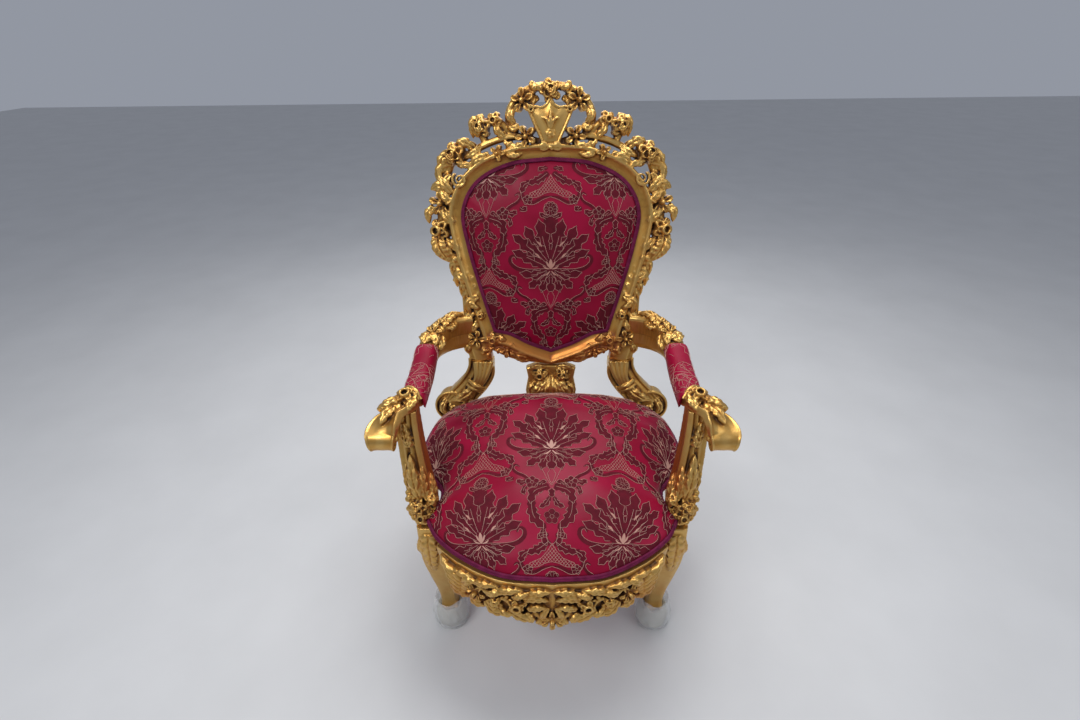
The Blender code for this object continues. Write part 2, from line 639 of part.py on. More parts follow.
def arm(name, sign):
    line = arm_line()
    along = unit(np.gradient(line[:, :3], axis=0))
    side = unit(np.cross(along, [0, 0, 1.0]))
    rings = []
    for (x, y, z, low), s in zip(line, side):
        section = [(-0.020, -low), (0.020, -low), (0.026, 0.004), (0.018, 0.015), (-0.018, 0.015), (-0.026, 0.004)]
        rings.append([np.array([x, y, z + h]) + s * q for q, h in section])
    shapes = [loft(rings)]
    # The out-turned hand: a broad band that runs forward, over and in on itself
    path, widths = hand_line()
    section = [(-1, -0.0095), (1, -0.0095), (1, 0.0095), (-1, 0.0095)]
    thins = np.interp(np.arange(len(path)), [0, 4, len(path) - 1], [1.3, 1.1, 0.75])
    shapes.append(sweep(path, section, up=hand_up(path), scales=[(w, t) for w, t in zip(widths, thins)]))
    shapes.append(roundel((HAND_X, HAND_Y, HAND_Z), (1, 0, 0), 0.017, 0.086, 9))
    # Open rose and leaves on the hand
    shapes.append(rose((0.334, -0.094, 0.722), (0.05, -0.25, 1), 0.024, 0.016))
    shapes.append(leaf([(0.346, -0.112, 0.722), (0.366, -0.136, 0.724), (0.386, -0.150, 0.708)], (0.1, -0.2, 1), 0.034, 0.009))
    shapes.append(leaf([(0.350, -0.128, 0.716), (0.372, -0.164, 0.704), (0.386, -0.190, 0.680)], (0.1, -0.6, 1), 0.034, 0.009))
    # Flowers and leaves at the bend
    shapes.append(daisy((0.318, 0.158, 0.746), (0.2, -0.35, 1), 0.027, 0.018))
    shapes.append(bud((0.300, 0.196, 0.752), (0.1, -0.5, 1), 0.019, 0.016))
    shapes.append(leaf([(0.322, 0.154, 0.744), (0.332, 0.138, 0.745), (0.334, 0.124, 0.736)], (0, 0, 1), 0.044, 0.008))
    shapes.append(leaf([(0.300, 0.196, 0.750), (0.276, 0.240, 0.756), (0.256, 0.262, 0.748)], (0, -0.5, 1), 0.032, 0.009))
    shapes.append(leaf([(0.304, 0.168, 0.738), (0.292, 0.140, 0.728), (0.298, 0.122, 0.712)], (-0.6, -0.2, 1), 0.030, 0.009))
    return joined(name, [], handed(shapes, sign), CARVING_KEEP)


def hand_up(path):
    """Which way the band's outer face looks along its line: up, then away from the middle of the roll."""
    up = path - np.array([HAND_X, HAND_Y, HAND_Z])
    up[:, 0] = 0
    up[:3] = (0, 0, 1)
    return unit(up)


def arm_pad(name, sign):
    """The stuffed pad along the top of an arm, its cover brought down the sides."""
    path = spline([(0.3275, 0.112, 0.7150), (0.324, 0.020, 0.7020), (0.321, -0.084, 0.7035)], 3)
    outline = [(-0.0285, -0.008), (-0.0272, -0.008), (-0.0272, 0.005), (-0.0188, 0.0162), (0.0188, 0.0162), (0.0272, 0.005),
               (0.0272, -0.008), (0.0285, -0.008), (0.0300, 0.008), (0.022, 0.028), (0.0, 0.034), (-0.022, 0.028), (-0.0300, 0.008)]
    verts, faces = sweep(path, outline, up=(0, 0, 1))
    front = path[-1, 1] + 0.001
    verts = [(x, y + (0.7 * (x - path[-1, 0]) if y < front else 0), z) for x, y, z in verts]
    solid = (verts, faces)
    if sign < 0:
        solid = mirrored(solid)
    return new_object(name, solid)


def arm_support(name, sign):
    path = spline([(0.310, -0.180, RAIL_TOP_Z + GAP), (0.312, -0.172, 0.480), (0.322, -0.152, 0.540), (0.330, -0.132, 0.600),
                   (0.334, -0.116, 0.664), (0.334, -0.106, 0.700)], 3)
    path[:2, :2] = path[0, :2]
    section = [(-0.028, -0.022), (0.020, -0.022), (0.028, -0.012), (0.028, 0.018), (0.016, 0.024), (-0.016, 0.024), (-0.028, 0.016)]
    widen = np.interp(np.linspace(0, 1, len(path)), [0, 0.25, 0.6, 1], [1.10, 1.12, 0.98, 0.86])
    shapes = [sweep(path, section, up=(0, -1, 0), scales=[(s, 1) for s in widen])]
    for dx, dy, z, radius in ((0.010, -0.026, 0.478, 0.024), (-0.022, -0.018, 0.492, 0.018), (0.004, -0.030, 0.446, 0.021),
                              (0.028, -0.012, 0.500, 0.017)):
        shapes.append(rose((0.308 + dx, -0.178 + dy, z), (dx * 12, -1, 0.5), radius, radius * 0.8))
    shapes.append(leaf([(0.314, -0.194, 0.500), (0.324, -0.184, 0.545), (0.330, -0.160, 0.600)], (0, -1, 0.2), 0.036, 0.012))
    shapes.append(leaf([(0.300, -0.190, 0.498), (0.304, -0.178, 0.530), (0.308, -0.158, 0.565)], (-0.3, -1, 0.2), 0.028, 0.010))
    return joined(name, [], handed(shapes, sign), CARVING_KEEP)


def rail(name, line, outer, inner, bottoms, top=RAIL_TOP_Z - GAP):
    """A rail along a plan line, from outer to inner, with its own bottom line."""
    along = unit(np.gradient(line, axis=0))
    out = np.stack([along[:, 1], -along[:, 0]], axis=1)
    rings = []
    for p, o, b in zip(line, out, bottoms):
        a = p + o * outer
        c = p + o * inner
        rings.append([(a[0], a[1], b + 0.012), (a[0], a[1], top), (c[0], c[1], top), (c[0], c[1], b), (*(a * 0.7 + c * 0.3), b)])
    return loft(rings)


def front_rail():
    half = even(spline([(x, SEAT_FRONT_Y + y) for x, y in SEAT_FRONT[:-1]], 8), 9)
    line = np.vstack([(half * [-1, 1])[::-1][:-1], half])
    bottoms = np.interp(np.abs(line[:, 0]), [0, 0.06, 0.15, 0.22, 0.27], [0.312, 0.318, 0.318, 0.330, 0.345])
    shapes = [rail("front_rail", line, RAIL_STEP_OUT, RAIL_STEP_OUT - RAIL_THICK, bottoms)]
    along = unit(np.gradient(line, axis=0))

    def at(x, z, out=0.014):
        y = float(np.interp(x, line[:, 0], line[:, 1]))
        return np.array([x, y - out, z])

    def facing(x):
        slope = float(np.interp(x, line[:, 0], along[:, 1] / along[:, 0]))
        return unit((slope, -1.0, 0.15))

    right = []
    for kind, x, z, radius in (("daisy", 0.172, 0.352, 0.027), ("rose", 0.075, 0.352, 0.024), ("bud", 0.125, 0.344, 0.020)):
        shape = {"rose": rose, "daisy": daisy, "bud": bud}[kind]
        right.append(shape(at(x, z), facing(x), radius, radius * 0.8))
    # Wing leaves at the ends, leaves between the flowers, and the pierced drop in the middle
    for k in range(3):
        a = (0.200, 0.352 - 0.010 * k)
        b = (0.236 - 0.006 * k, 0.374 - 0.018 * k)
        c = (0.268 - 0.012 * k, 0.404 - 0.022 * k)
        right.append(leaf([at(*a), at(*b, out=0.022), at(*c)], facing(0.24), 0.026, 0.009))
    right.append(leaf([at(0.150, 0.338), at(0.128, 0.318, 0.020), at(0.098, 0.312)], facing(0.12), 0.030, 0.010))
    right.append(leaf([at(0.185, 0.338), at(0.172, 0.322, 0.020), at(0.150, 0.314)], facing(0.17), 0.026, 0.010))
    right.append(leaf([at(0.062, 0.372), at(0.038, 0.382, 0.020), at(0.006, 0.366)], facing(0.03), 0.024, 0.008))
    right.append(leaf([at(0.100, 0.326), at(0.064, 0.310, 0.020), at(0.036, 0.296)], facing(0.05), 0.030, 0.010))
    drop_path = [at(0.052, 0.330, 0.004), at(0.034, 0.312, 0.010), at(0.0, 0.296, 0.012)]
    right.append(sweep(spline(drop_path, 3), oval(0.010, 0.010, 5), up=(0, -1, 0)))
    shapes += both(right)
    shapes.append(sweep([at(0, 0.330, 0.002), at(0, 0.314, 0.008), at(0, 0.296, 0.010)], oval(0.007, 0.007, 5), up=(0, -1, 0)))
    shapes.append(rose(at(0.0, 0.298, 0.008), (0, -1, 0.1), 0.028, 0.022))
    return joined("front_rail", [], shapes, CARVING_KEEP)


def side_rail(name, sign):
    curve = even(spline(RAIL_SIDE, 8), 60)
    line = even(curve[(curve[:, 1] > -0.185) & (curve[:, 1] < 0.190) & (curve[:, 0] > 0.27)], 9)
    shape = rail(name, line, 0.0, -RAIL_THICK, np.full(len(line), RAIL_BOTTOM_Z))
    if sign < 0:
        shape = mirrored(shape)
    return new_object(name, shape)


def back_rail():
    curve = even(spline(RAIL_SIDE, 8), 60)
    half = even(curve[(curve[:, 1] > 0.15) & (curve[:, 0] < 0.262)], 6)[::-1]
    line = np.vstack([(half * [-1, 1])[::-1][:-1], half])
    return new_object("back_rail", rail("back_rail", line[::-1], 0.0, -0.036, np.full(len(line), RAIL_BOTTOM_Z - 0.01)))


SEAT_COUNT = 36


def crown(scale, x, y):
    """How far the stuffing stands above the edge. It is fuller towards the back, most in the middle."""
    rear = (y - SEAT_FRONT_Y) / (SEAT_BACK_Y - SEAT_FRONT_Y)
    height = SEAT_CROWN + REAR_SWELL * rear * (2.2 * rear - 1.2)
    height += REAR_ARCH * rear ** 2 * (0.3 - min(1.0, (x / ARCH_HALF) ** 2))
    return height * (1 - scale ** (3 + 3 * rear)) ** (0.75 - 0.30 * rear)


def seat_cushion():
    edge = seat_outline(SEAT_COUNT // 2)
    centre = np.array([0.0, (SEAT_FRONT_Y + SEAT_BACK_Y) / 2])
    tuck = seat_outline(SEAT_COUNT // 2, -0.022)
    rings = [[(x, y, z) for x, y in tuck] for z in (CUSHION_BASE_Z, RAIL_TOP_Z + 0.0006)]
    rings.append([(x, y, RAIL_TOP_Z + 0.0008) for x, y in seat_outline(SEAT_COUNT // 2, -0.001)])
    for scale in (1.0, 0.955, 0.86, 0.68, 0.44, 0.18):
        ring = centre + (edge - centre) * scale
        rings.append([(x, y, edge_z(y) + crown(scale, x, y)) for x, y in ring])
    return new_object("seat_cushion", loft(rings))


def seat_braid():
    edge = seat_outline(SEAT_COUNT // 2, 0.0045)
    path = np.array([(x, y, edge_z(y) - 0.006) for x, y in edge])
    return new_object("seat_braid", sweep(path, [(-0.0038, -0.0045), (0.0038, -0.0045), (0.0038, 0.0045), (-0.0038, 0.0045)], closed=True))


def back_rings(levels, count=RING_COUNT):
    """Rings over the panel from (spread, scale, w) levels."""
    mid = np.array([0.0, (PANEL_TOP_V + PANEL_TIP_V) / 2 + 0.02])
    rings = []
    for spread, scale, w in levels:
        loop = mid + (panel_outline(count, spread) - mid) * scale
        rings.append([on_back(u, v, w) for u, v in loop])
    return rings


def back_pad():
    levels = ((-0.0012, 1, -0.0030), (-0.0012, 1, 0.0085), (-0.003, 0.955, 0.019), (-0.003, 0.84, 0.029), (-0.003, 0.6, 0.037),
              (-0.003, 0.28, 0.041))
    return new_object("back_pad", loft(back_rings(levels)))


def back_cover():
    levels = ((-0.0012, 1, -0.0036), (-0.0012, 1, -0.0180), (-0.002, 0.90, -0.0215))
    return new_object("back_cover", loft(back_rings(levels)[::-1]))


def back_braid():
    loop = panel_outline(RING_COUNT, 0.0035)
    path = np.array([on_back(u, v, 0.0135) for u, v in loop])
    return new_object("back_braid", sweep(path, [(-0.0040, -0.0030), (0.0040, -0.0030), (0.0040, 0.0030), (-0.0040, 0.0030)], up=BACK_OUT, closed=True))


# Colour, roughness and metallic value of each material
FINISHES = {
    "giltwood": ((0.62, 0.36, 0.07, 1.0), 0.32, 0.85),
    "crimson_damask": ((0.30, 0.006, 0.035, 1.0), 0.45, 0.0),
    "plum_braid": ((0.13, 0.012, 0.07, 1.0), 0.60, 0.0),
    "clear_film": ((0.78, 0.80, 0.80, 1.0), 0.20, 0.0),
}


def material(name):
    found = bpy.data.materials.get(name)
    if found:
        return found
    colour, rough, metal = FINISHES[name]
    made = bpy.data.materials.new(name)
    made.use_nodes = True
    shader = made.node_tree.nodes["Principled BSDF"]
    shader.inputs["Base Color"].default_value = colour
    shader.inputs["Roughness"].default_value = rough
    shader.inputs["Metallic"].default_value = metal
    made.diffuse_color = colour
    return made


def finish_for(name):
    if "wrap" in name:
        return "clear_film"
    if "braid" in name:
        return "plum_braid"
    if "pad" in name or "cushion" in name or "cover" in name:
        return "crimson_damask"
    return "giltwood"


def clear_scene():
    for obj in list(bpy.data.objects):
        bpy.data.objects.remove(obj)
    for mesh in list(bpy.data.meshes):
        bpy.data.meshes.remove(mesh)


def gather(objects):
    """Puts the pieces in one collection under an empty that centres the chair's box on the origin."""
    collection = bpy.data.collections.new("throne_armchair")
    bpy.context.scene.collection.children.link(collection)
    root = bpy.data.objects.new("throne_armchair", None)
    collection.objects.link(root)
    ys = np.concatenate([[v.co.y for v in obj.data.vertices] for obj in objects])
    root.location.y = -(ys.min() + ys.max()) / 2
    for obj in objects:
        bpy.context.scene.collection.objects.unlink(obj)
        collection.objects.link(obj)
        obj.parent = root
        obj.data.materials.clear()
        obj.data.materials.append(material(finish_for(obj.name)))
        obj.data.shade_smooth()
        obj.data.set_sharp_from_angle(angle=math.radians(35))


def build():
    clear_scene()
    pad, cover, trim = back_pad(), back_cover(), back_braid()
    frame = fitted(back_frame(), [pad, trim], gap=0.5 * GAP)
    cushion, braid = seat_cushion(), seat_braid()
    splat = fitted(back_splat(), [frame, cushion, braid])
    made = [frame, pad, cover, trim, splat, cushion, braid]
    legs = []
    for side, sign in SIDES:
        front = fitted(front_leg(f"front_leg_{side}", sign), [cushion])
        rear = fitted(rear_leg(f"rear_leg_{side}", sign), [frame, cushion, braid])
        hand = fitted(arm(f"arm_{side}", sign), [frame], gap=4 * GAP)
        stuffed = arm_pad(f"arm_pad_{side}", sign)
        hand = fitted(hand, [stuffed])
        post = fitted(arm_support(f"arm_support_{side}", sign), [hand], gap=1.5 * GAP)
        post = fitted(post, [stuffed, cushion, braid])
        wrap = foot_wrap(f"foot_wrap_{side}", sign, front)
        legs += [front, rear]
        made += [front, rear, hand, stuffed, post, wrap]
    around = legs + [cushion, braid]
    made.append(fitted(front_rail(), around))
    for side, sign in SIDES:
        made.append(fitted(side_rail(f"side_rail_{side}", sign), around))
    made.append(fitted(back_rail(), around + [splat]))
    gather(made)


build()
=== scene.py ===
"""The look of the carved giltwood throne: fine carving, gilding, damask, braid and the wrapped front feet."""
import math

import bmesh
import bpy
import numpy as np
from mathutils import Matrix, Vector, geometry
from mathutils.bvhtree import BVHTree


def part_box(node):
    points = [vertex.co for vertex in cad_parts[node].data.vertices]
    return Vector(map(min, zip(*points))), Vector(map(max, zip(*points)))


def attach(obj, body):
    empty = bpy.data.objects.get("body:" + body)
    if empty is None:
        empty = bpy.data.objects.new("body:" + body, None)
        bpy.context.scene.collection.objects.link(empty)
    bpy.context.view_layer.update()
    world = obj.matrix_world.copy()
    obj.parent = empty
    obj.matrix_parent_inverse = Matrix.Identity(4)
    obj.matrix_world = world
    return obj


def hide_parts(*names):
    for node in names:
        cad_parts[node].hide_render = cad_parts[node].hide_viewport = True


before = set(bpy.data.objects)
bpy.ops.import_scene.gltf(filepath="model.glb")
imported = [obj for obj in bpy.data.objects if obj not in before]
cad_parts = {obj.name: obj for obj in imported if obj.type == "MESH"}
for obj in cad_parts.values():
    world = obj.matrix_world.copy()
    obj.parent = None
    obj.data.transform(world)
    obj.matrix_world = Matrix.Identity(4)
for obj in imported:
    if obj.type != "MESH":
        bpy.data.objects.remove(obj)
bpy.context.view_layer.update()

# The chair's sizes, as in the solids. y is measured from the middle of the seat, then moved by SHIFT.
SEAT_EDGE_Z = 0.432
SEAT_CROWN = 0.076
REAR_SWELL = 0.030
REAR_ARCH = 0.030
ARCH_HALF = 0.25
SEAT_RISE = 0.052
RAIL_TOP_Z = 0.418
RAIL_BOTTOM_Z = 0.345
RAIL_THICK = 0.030
RAIL_STEP_OUT = 0.012
RELIEF = 0.014
SEAT_FRONT_Y = -0.360
SEAT_BACK_Y = 0.186
BACK_RAKE = math.radians(11.8)
BACK_Y = 0.219
BACK_Z = 0.450
PANEL_TOP_V = 0.712
PANEL_TIP_V = 0.191
PANEL_HALF = 0.232
FRAME_BAND = 0.034
FRAME_BACK_W = -0.024
WAIST_V = 0.300
JOINT_V = 0.158
HAND_X = 0.3805
HAND_Y = -0.168
HAND_Z = 0.658
ROLL_RADIUS = 0.029
FOOT_X = 0.286
FOOT_Y = -0.188
REAR_FOOT_Y = 0.335
REAR_FOOT_X = 0.272
GAP = 0.0004
SEAT_MIDDLE_Y = -0.087
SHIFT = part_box("seat_cushion")[0][1] - SEAT_FRONT_Y
SIDES = (("left", -1.0), ("right", 1.0))

# The simulated covers: their shells' voxels, the pressure, the last frame and how far a point may move
COVER_VOXEL = 0.006
COVER_PRESSURE = 4.0
COVER_FRAMES = 20
SEAT_MOVE = 0.010
BACK_MOVE = 0.007
COVER_SEARCH = 0.020


def unit(v):
    v = np.asarray(v, float)
    return v / np.maximum(np.linalg.norm(v, axis=-1, keepdims=True), 1e-12)


def spline(points, per_span):
    """A smooth curve through the points, ends included."""
    p = np.asarray(points, float)
    p = np.vstack([2 * p[0] - p[1], p, 2 * p[-1] - p[-2]])
    out = []
    for i in range(1, len(p) - 2):
        for t in np.arange(per_span) / per_span:
            a = 2 * p[i]
            b = (p[i + 1] - p[i - 1]) * t
            c = (2 * p[i - 1] - 5 * p[i] + 4 * p[i + 1] - p[i + 2]) * t * t
            d = (3 * p[i] - p[i - 1] - 3 * p[i + 1] + p[i + 2]) * t ** 3
            out.append((a + b + c + d) / 2)
    return np.array(out + [p[-2]])


def even(curve, count):
    """The curve resampled at equal lengths."""
    step = np.linalg.norm(np.diff(curve, axis=0), axis=1)
    along = np.concatenate([[0], np.cumsum(step)])
    at = np.linspace(0, along[-1], count)
    return np.stack([np.interp(at, along, curve[:, k]) for k in range(curve.shape[1])], axis=1)


def length_of(curve):
    return float(np.linalg.norm(np.diff(curve, axis=0), axis=1).sum())


def circle(radius, z, count):
    a = np.arange(count) / count * math.tau
    return np.stack([radius * np.cos(a), radius * np.sin(a), np.full(count, z)], axis=1)


def on_back(u, v, w=0.0):
    y = BACK_Y + v * math.sin(BACK_RAKE) - w * math.cos(BACK_RAKE)
    z = BACK_Z + v * math.cos(BACK_RAKE) + w * math.sin(BACK_RAKE)
    return np.array([u, y, z])


BACK_UP = np.array([0.0, math.sin(BACK_RAKE), math.cos(BACK_RAKE)])
BACK_OUT = np.array([0.0, -math.cos(BACK_RAKE), math.sin(BACK_RAKE)])


# Carving: each shape is a closed shell (points, faces), and a piece is many shells grown together


def loft(rings, closed=False):
    rings = [np.asarray(r, float) for r in rings]
    n = len(rings[0])
    faces = []
    last = len(rings) if closed else len(rings) - 1
    for i in range(last):
        a = i * n
        b = ((i + 1) % len(rings)) * n
        for k in range(n):
            m = (k + 1) % n
            faces.append((a + k, a + m, b + m, b + k))
    if not closed:
        faces.append(tuple(range(n))[::-1])
        faces.append(tuple(range((len(rings) - 1) * n, len(rings) * n)))
    return np.vstack(rings), faces


def sweep(path, section, up=(0, 0, 1), scales=None, closed=False):
    """A section of (side, up) points carried along a path."""
    path = np.asarray(path, float)
    if closed:
        tangent = np.roll(path, -1, axis=0) - np.roll(path, 1, axis=0)
    else:
        tangent = np.gradient(path, axis=0)
    tangent = unit(tangent)
    up = np.broadcast_to(np.asarray(up, float), path.shape)
    side = unit(np.cross(tangent, up))
    lift = unit(np.cross(side, tangent))
    section = np.asarray(section, float)
    rings = []
    for i in range(len(path)):
        s = section if scales is None else section * np.asarray(scales[i])
        rings.append(path[i] + s[:, :1] * side[i] + s[:, 1:] * lift[i])
    return loft(rings, closed)


def oval(half_width, half_height, count=14, reeds=0, groove=0.0):
    a = np.arange(count) / count * math.tau
    r = 1 - groove * (0.5 - 0.5 * np.cos(reeds * a))
    return np.stack([half_width * r * np.cos(a), half_height * r * np.sin(a)], axis=1)


def rounded(half_width, low, high, ease=0.35, steps=4):
    """A rectangle section with rounded corners."""
    cx, cy = 0.0, (low + high) / 2
    hx, hy = half_width, (high - low) / 2
    r = ease * min(hx, hy)
    out = []
    for qx, qy, start in ((1, -1, -90), (1, 1, 0), (-1, 1, 90), (-1, -1, 180)):
        for k in range(steps + 1):
            a = math.radians(start + 90 * k / steps)
            out.append((cx + qx * (hx - r) + r * math.cos(a), cy + qy * (hy - r) + r * math.sin(a)))
    return out


def frame_at(out, turn=0.0):
    """Three axes whose last is out, turned about it."""
    out = unit(out)
    guide = BACK_UP if abs(out[2]) < 0.9 else np.array([0.0, 1.0, 0.0])
    side = unit(np.cross(out, guide))
    up = np.cross(side, out)
    c, s = math.cos(turn), math.sin(turn)
    return np.array([c * side + s * up, -s * side + c * up, out])


def placed(solid, at, axes):
    v, f = solid
    return np.asarray(at, float) + v @ axes, f


def slab(top, depth):
    """A closed shell under a grid of points: its top is the grid, and its base lies depth below in z."""
    rows, cols, _ = top.shape
    base = top.copy()
    base[..., 2] = np.minimum(top[..., 2] - 0.25 * depth, -depth)
    v = np.vstack([top.reshape(-1, 3), base.reshape(-1, 3)])
    n = rows * cols
    f = []
    for i in range(rows - 1):
        for j in range(cols - 1):
            a, b, c, d = i * cols + j, i * cols + j + 1, (i + 1) * cols + j + 1, (i + 1) * cols + j
            f.append((a, b, c, d))
            f.append((n + d, n + c, n + b, n + a))
    edge = [i for i in range(cols)]
    edge += [i * cols + cols - 1 for i in range(1, rows)]
    edge += [(rows - 1) * cols + j for j in range(cols - 2, -1, -1)]
    edge += [i * cols for i in range(rows - 2, 0, -1)]
    for k, a in enumerate(edge):
        b = edge[(k + 1) % len(edge)]
        f.append((b, a, n + a, n + b))
    return v, f


def petal(angle, inner, outer, spread, height, fall, cup, tilt, groove, rows=9, cols=11):
    """One spoon-shaped petal about the z axis, in units of the flower's radius and height."""
    t = np.linspace(0, 1, rows)[:, None]
    s = np.linspace(-1, 1, cols)[None, :]
    round_tip = 1 - (1 - np.sqrt(np.clip(1 - 0.85 * np.abs(s) ** 2.4, 0.04, 1))) * t
    r = inner + (outer - inner) * t * round_tip
    wide = spread * (0.42 + 0.58 * np.sin(math.pi * np.clip(0.12 + 0.62 * t, 0, 1)) ** 1.3)
    a = angle + wide * s
    rise = 0.30 + 0.70 * np.sin(math.pi * 0.5 * np.minimum(1, t * 1.35))
    z = height * rise - fall * np.clip(t - 0.62, 0, 1) ** 2 * 5
    hollow = groove * np.exp(-(s / 0.34) ** 2) * np.sin(math.pi * np.clip(t, 0, 1)) ** 0.6
    z = z + cup * s ** 2 * t - hollow + tilt * s
    z = z - 0.55 * height * np.abs(s) ** 8
    z = np.broadcast_to(z, r.shape)
    return slab(np.stack([r * np.cos(a), r * np.sin(a), z], axis=2), 0.75)


def dome(radius, low, high, dimple=0.0, count=16, rows=7):
    rings = []
    for k in range(rows):
        q = k / (rows - 1) * 0.5 * math.pi
        r = radius * max(math.cos(q), 0.10)
        z = low + (high - low) * math.sin(q) - (dimple if k == rows - 1 else 0)
        rings.append(circle(r, z, count))
    first = rings[0].copy()
    first[:, 2] = -0.75
    return loft([first] + rings)


def rosette(kind, seed=0):
    """A flower of radius 1 and height 1 about z."""
    shells = [dome(0.55, -0.5, 0.12)]
    if kind in ("rose", "eye"):
        tiers = ((5, 0.30, 1.00, 0.60, 0.46, 0.26, 0.10), (4, 0.28, 0.74, 0.74, 0.80, 0.16, 0.10))
        for k, (count, inner, outer, spread, height, fall, cup) in enumerate(tiers):
            for i in range(count):
                a = (i + 0.5 * k) / count * math.tau + 0.37 * seed
                shells.append(petal(a, inner, outer, spread, height, fall, cup, 0.10, 0.16))
    if kind == "rose":
        # Petals rolled one inside the other
        shells.append(dome(0.44, -0.2, 0.92))
        for radius, low, high, start in ((0.42, 0.30, 1.02, 0.0), (0.22, 0.50, 1.12, 2.4)):
            turn = np.linspace(0, 1.55 * math.pi, 16) + start + seed
            level = np.full(16, (low + high) / 2)
            path = np.stack([radius * np.cos(turn), radius * np.sin(turn), level], axis=1)
            shells.append(sweep(path, oval(0.075, (high - low) / 2, 10)))
        shells.append(dome(0.14, 0.2, 1.02))
    elif kind == "eye":
        turns = np.arange(20) / 20 * math.tau
        ring = np.array([[0.36 * math.cos(a), 0.36 * math.sin(a), 0.86] for a in turns])
        shells.append(sweep(ring, oval(0.13, 0.30, 10), closed=True))
        shells.append(dome(0.34, -0.2, 0.72))
    elif kind in ("daisy", "six"):
        count, spread = (5, 0.52) if kind == "daisy" else (6, 0.44)
        for i in range(count):
            shells.append(petal(i / count * math.tau + 0.37 * seed, 0.20, 1.00, spread, 0.56, 0.20,
                                0.12, 0.04, 0.26))
        shells.append(dome(0.25, 0.1, 0.92, 0.14))
    elif kind == "bud":
        shells.append(dome(0.56, -0.1, 0.98))
        for i in range(3):
            shells.append(petal(i / 3 * math.tau + 0.37 * seed, 0.12, 0.98, 0.86, 0.66, 0.30,
                                -0.10, 0.14, 0.0))
    return shells


def flower(kind, at, out, radius, height, turn=0.0, seed=0):
    axes = frame_at(out, turn)
    return [placed((v * [radius, radius, height], f), at, axes) for v, f in rosette(kind, seed)]


def leaf(path, out, width, thick=0.006, lobes=4, bite=0.30, depth=None, rows=26, cols=11,
         roll=0.0, base=0.25):
    """A serrated leaf along a path, with a sunk midrib, side veins and lobed edges."""
    path = even(spline(path, 10), rows)
    tangent = unit(np.gradient(path, axis=0))
    out = np.broadcast_to(np.asarray(out, float), path.shape)
    side = unit(np.cross(tangent, out))
    lift = unit(np.cross(side, tangent))
    t = np.linspace(0, 1, rows)[:, None]
    s = np.linspace(-1, 1, cols)[None, :]
    shape = np.clip(np.sin(math.pi * np.clip(base + (1 - base) * t, 0, 1)) ** 0.75, 0.03, 1)
    saw = (t * lobes) % 1.0
    half = 0.5 * width * shape * (1 - bite * saw ** 1.5 * np.minimum(1, 4 * (1 - t)))
    vein = np.cos(math.tau * (t * lobes - 0.75 * np.abs(s)))
    z = thick * (1.0 - 0.55 * s ** 2 + roll * s ** 2 - 0.55 * np.exp(-(s / 0.13) ** 2) + 0.22 * vein
                 * np.abs(s) ** 0.6)
    z = z * (0.45 + 0.55 * shape)
    depth = thick * 1.3 if depth is None else depth
    grid = np.stack([np.broadcast_to(half * s, z.shape), z], axis=2)
    top = path[:, None, :] + grid[..., :1] * side[:, None, :] + grid[..., 1:] * lift[:, None, :]
    low = path[:, None, :] + grid[..., :1] * 0.92 * side[:, None, :] - depth * lift[:, None, :]
    faces = slab(np.zeros((rows, cols, 3)), 1.0)[1]
    return np.vstack([top.reshape(-1, 3), low.reshape(-1, 3)]), faces


def scroll(middle, axis, start, radius, sweep_turns, width, thick, shrink=0.70, steps=46, bead=0.30):
    """A band rolled up about its middle, in the plane square to axis, with raised rims."""
    axis = unit(axis)
    a0 = unit(np.asarray(start) - axis * np.dot(start, axis))
    a1 = np.cross(axis, a0)
    t = np.linspace(0, 1, steps)
    r = radius * (1 - shrink * t)
    ang = t * sweep_turns * math.tau
    out = np.cos(ang)[:, None] * a0 + np.sin(ang)[:, None] * a1
    path = np.asarray(middle) + r[:, None] * out
    section = channel(width / 2, thick, bead)
    return sweep(path, section, up=out, scales=[(1, 1 - 0.45 * q) for q in t])


def channel(half, thick, bead=0.30):
    """A band's section with a rolled rim along each edge and a hollow between."""
    return [(-half, -thick / 2), (half, -thick / 2), (half, thick * 0.40), (half * 0.86, thick * 0.5),
            (half * 0.66, thick * 0.42),
            (half * 0.46, thick * (0.5 - bead)), (0, thick * (0.5 - bead * 1.1)),
            (-half * 0.46, thick * (0.5 - bead)),
            (-half * 0.66, thick * 0.42), (-half * 0.86, thick * 0.5), (-half, thick * 0.40)]


def stem(points, radius, reeds=0, groove=0.0):
    path = np.array([on_back(*p) for p in spline(points, 8)])
    return sweep(path, oval(radius, radius, 16, reeds, groove), up=BACK_OUT)


def mirrored(solid):
    v, f = solid
    return v * np.array([-1.0, 1.0, 1.0]), [tuple(reversed(face)) for face in f]


def both(solids):
    return list(solids) + [mirrored(s) for s in solids]


def handed(solids, sign):
    return [mirrored(s) for s in solids] if sign < 0 else list(solids)


# Turning shells into a piece


def raw_mesh(name, shells):
    verts, faces, at = [], [], 0
    for v, f in shells:
        verts.append(v)
        faces += [tuple(i + at for i in face) for face in f]
        at += len(v)
    mesh = bpy.data.meshes.new(name)
    mesh.from_pydata([tuple(p) for p in np.vstack(verts)], [], faces)
    work = bmesh.new()
    work.from_mesh(mesh)
    bmesh.ops.recalc_face_normals(work, faces=work.faces)
    bmesh.ops.triangulate(work, faces=work.faces)
    work.to_mesh(mesh)
    work.free()
    return mesh


def linked(name, mesh):
    obj = bpy.data.objects.new(name, mesh)
    bpy.context.scene.collection.objects.link(obj)
    return obj


def settle(obj):
    bpy.context.view_layer.update()
    graph = bpy.context.evaluated_depsgraph_get()
    mesh = bpy.data.meshes.new_from_object(obj.evaluated_get(graph), depsgraph=graph)
    obj.modifiers.clear()
    old = obj.data
    obj.data = mesh
    bpy.data.meshes.remove(old)


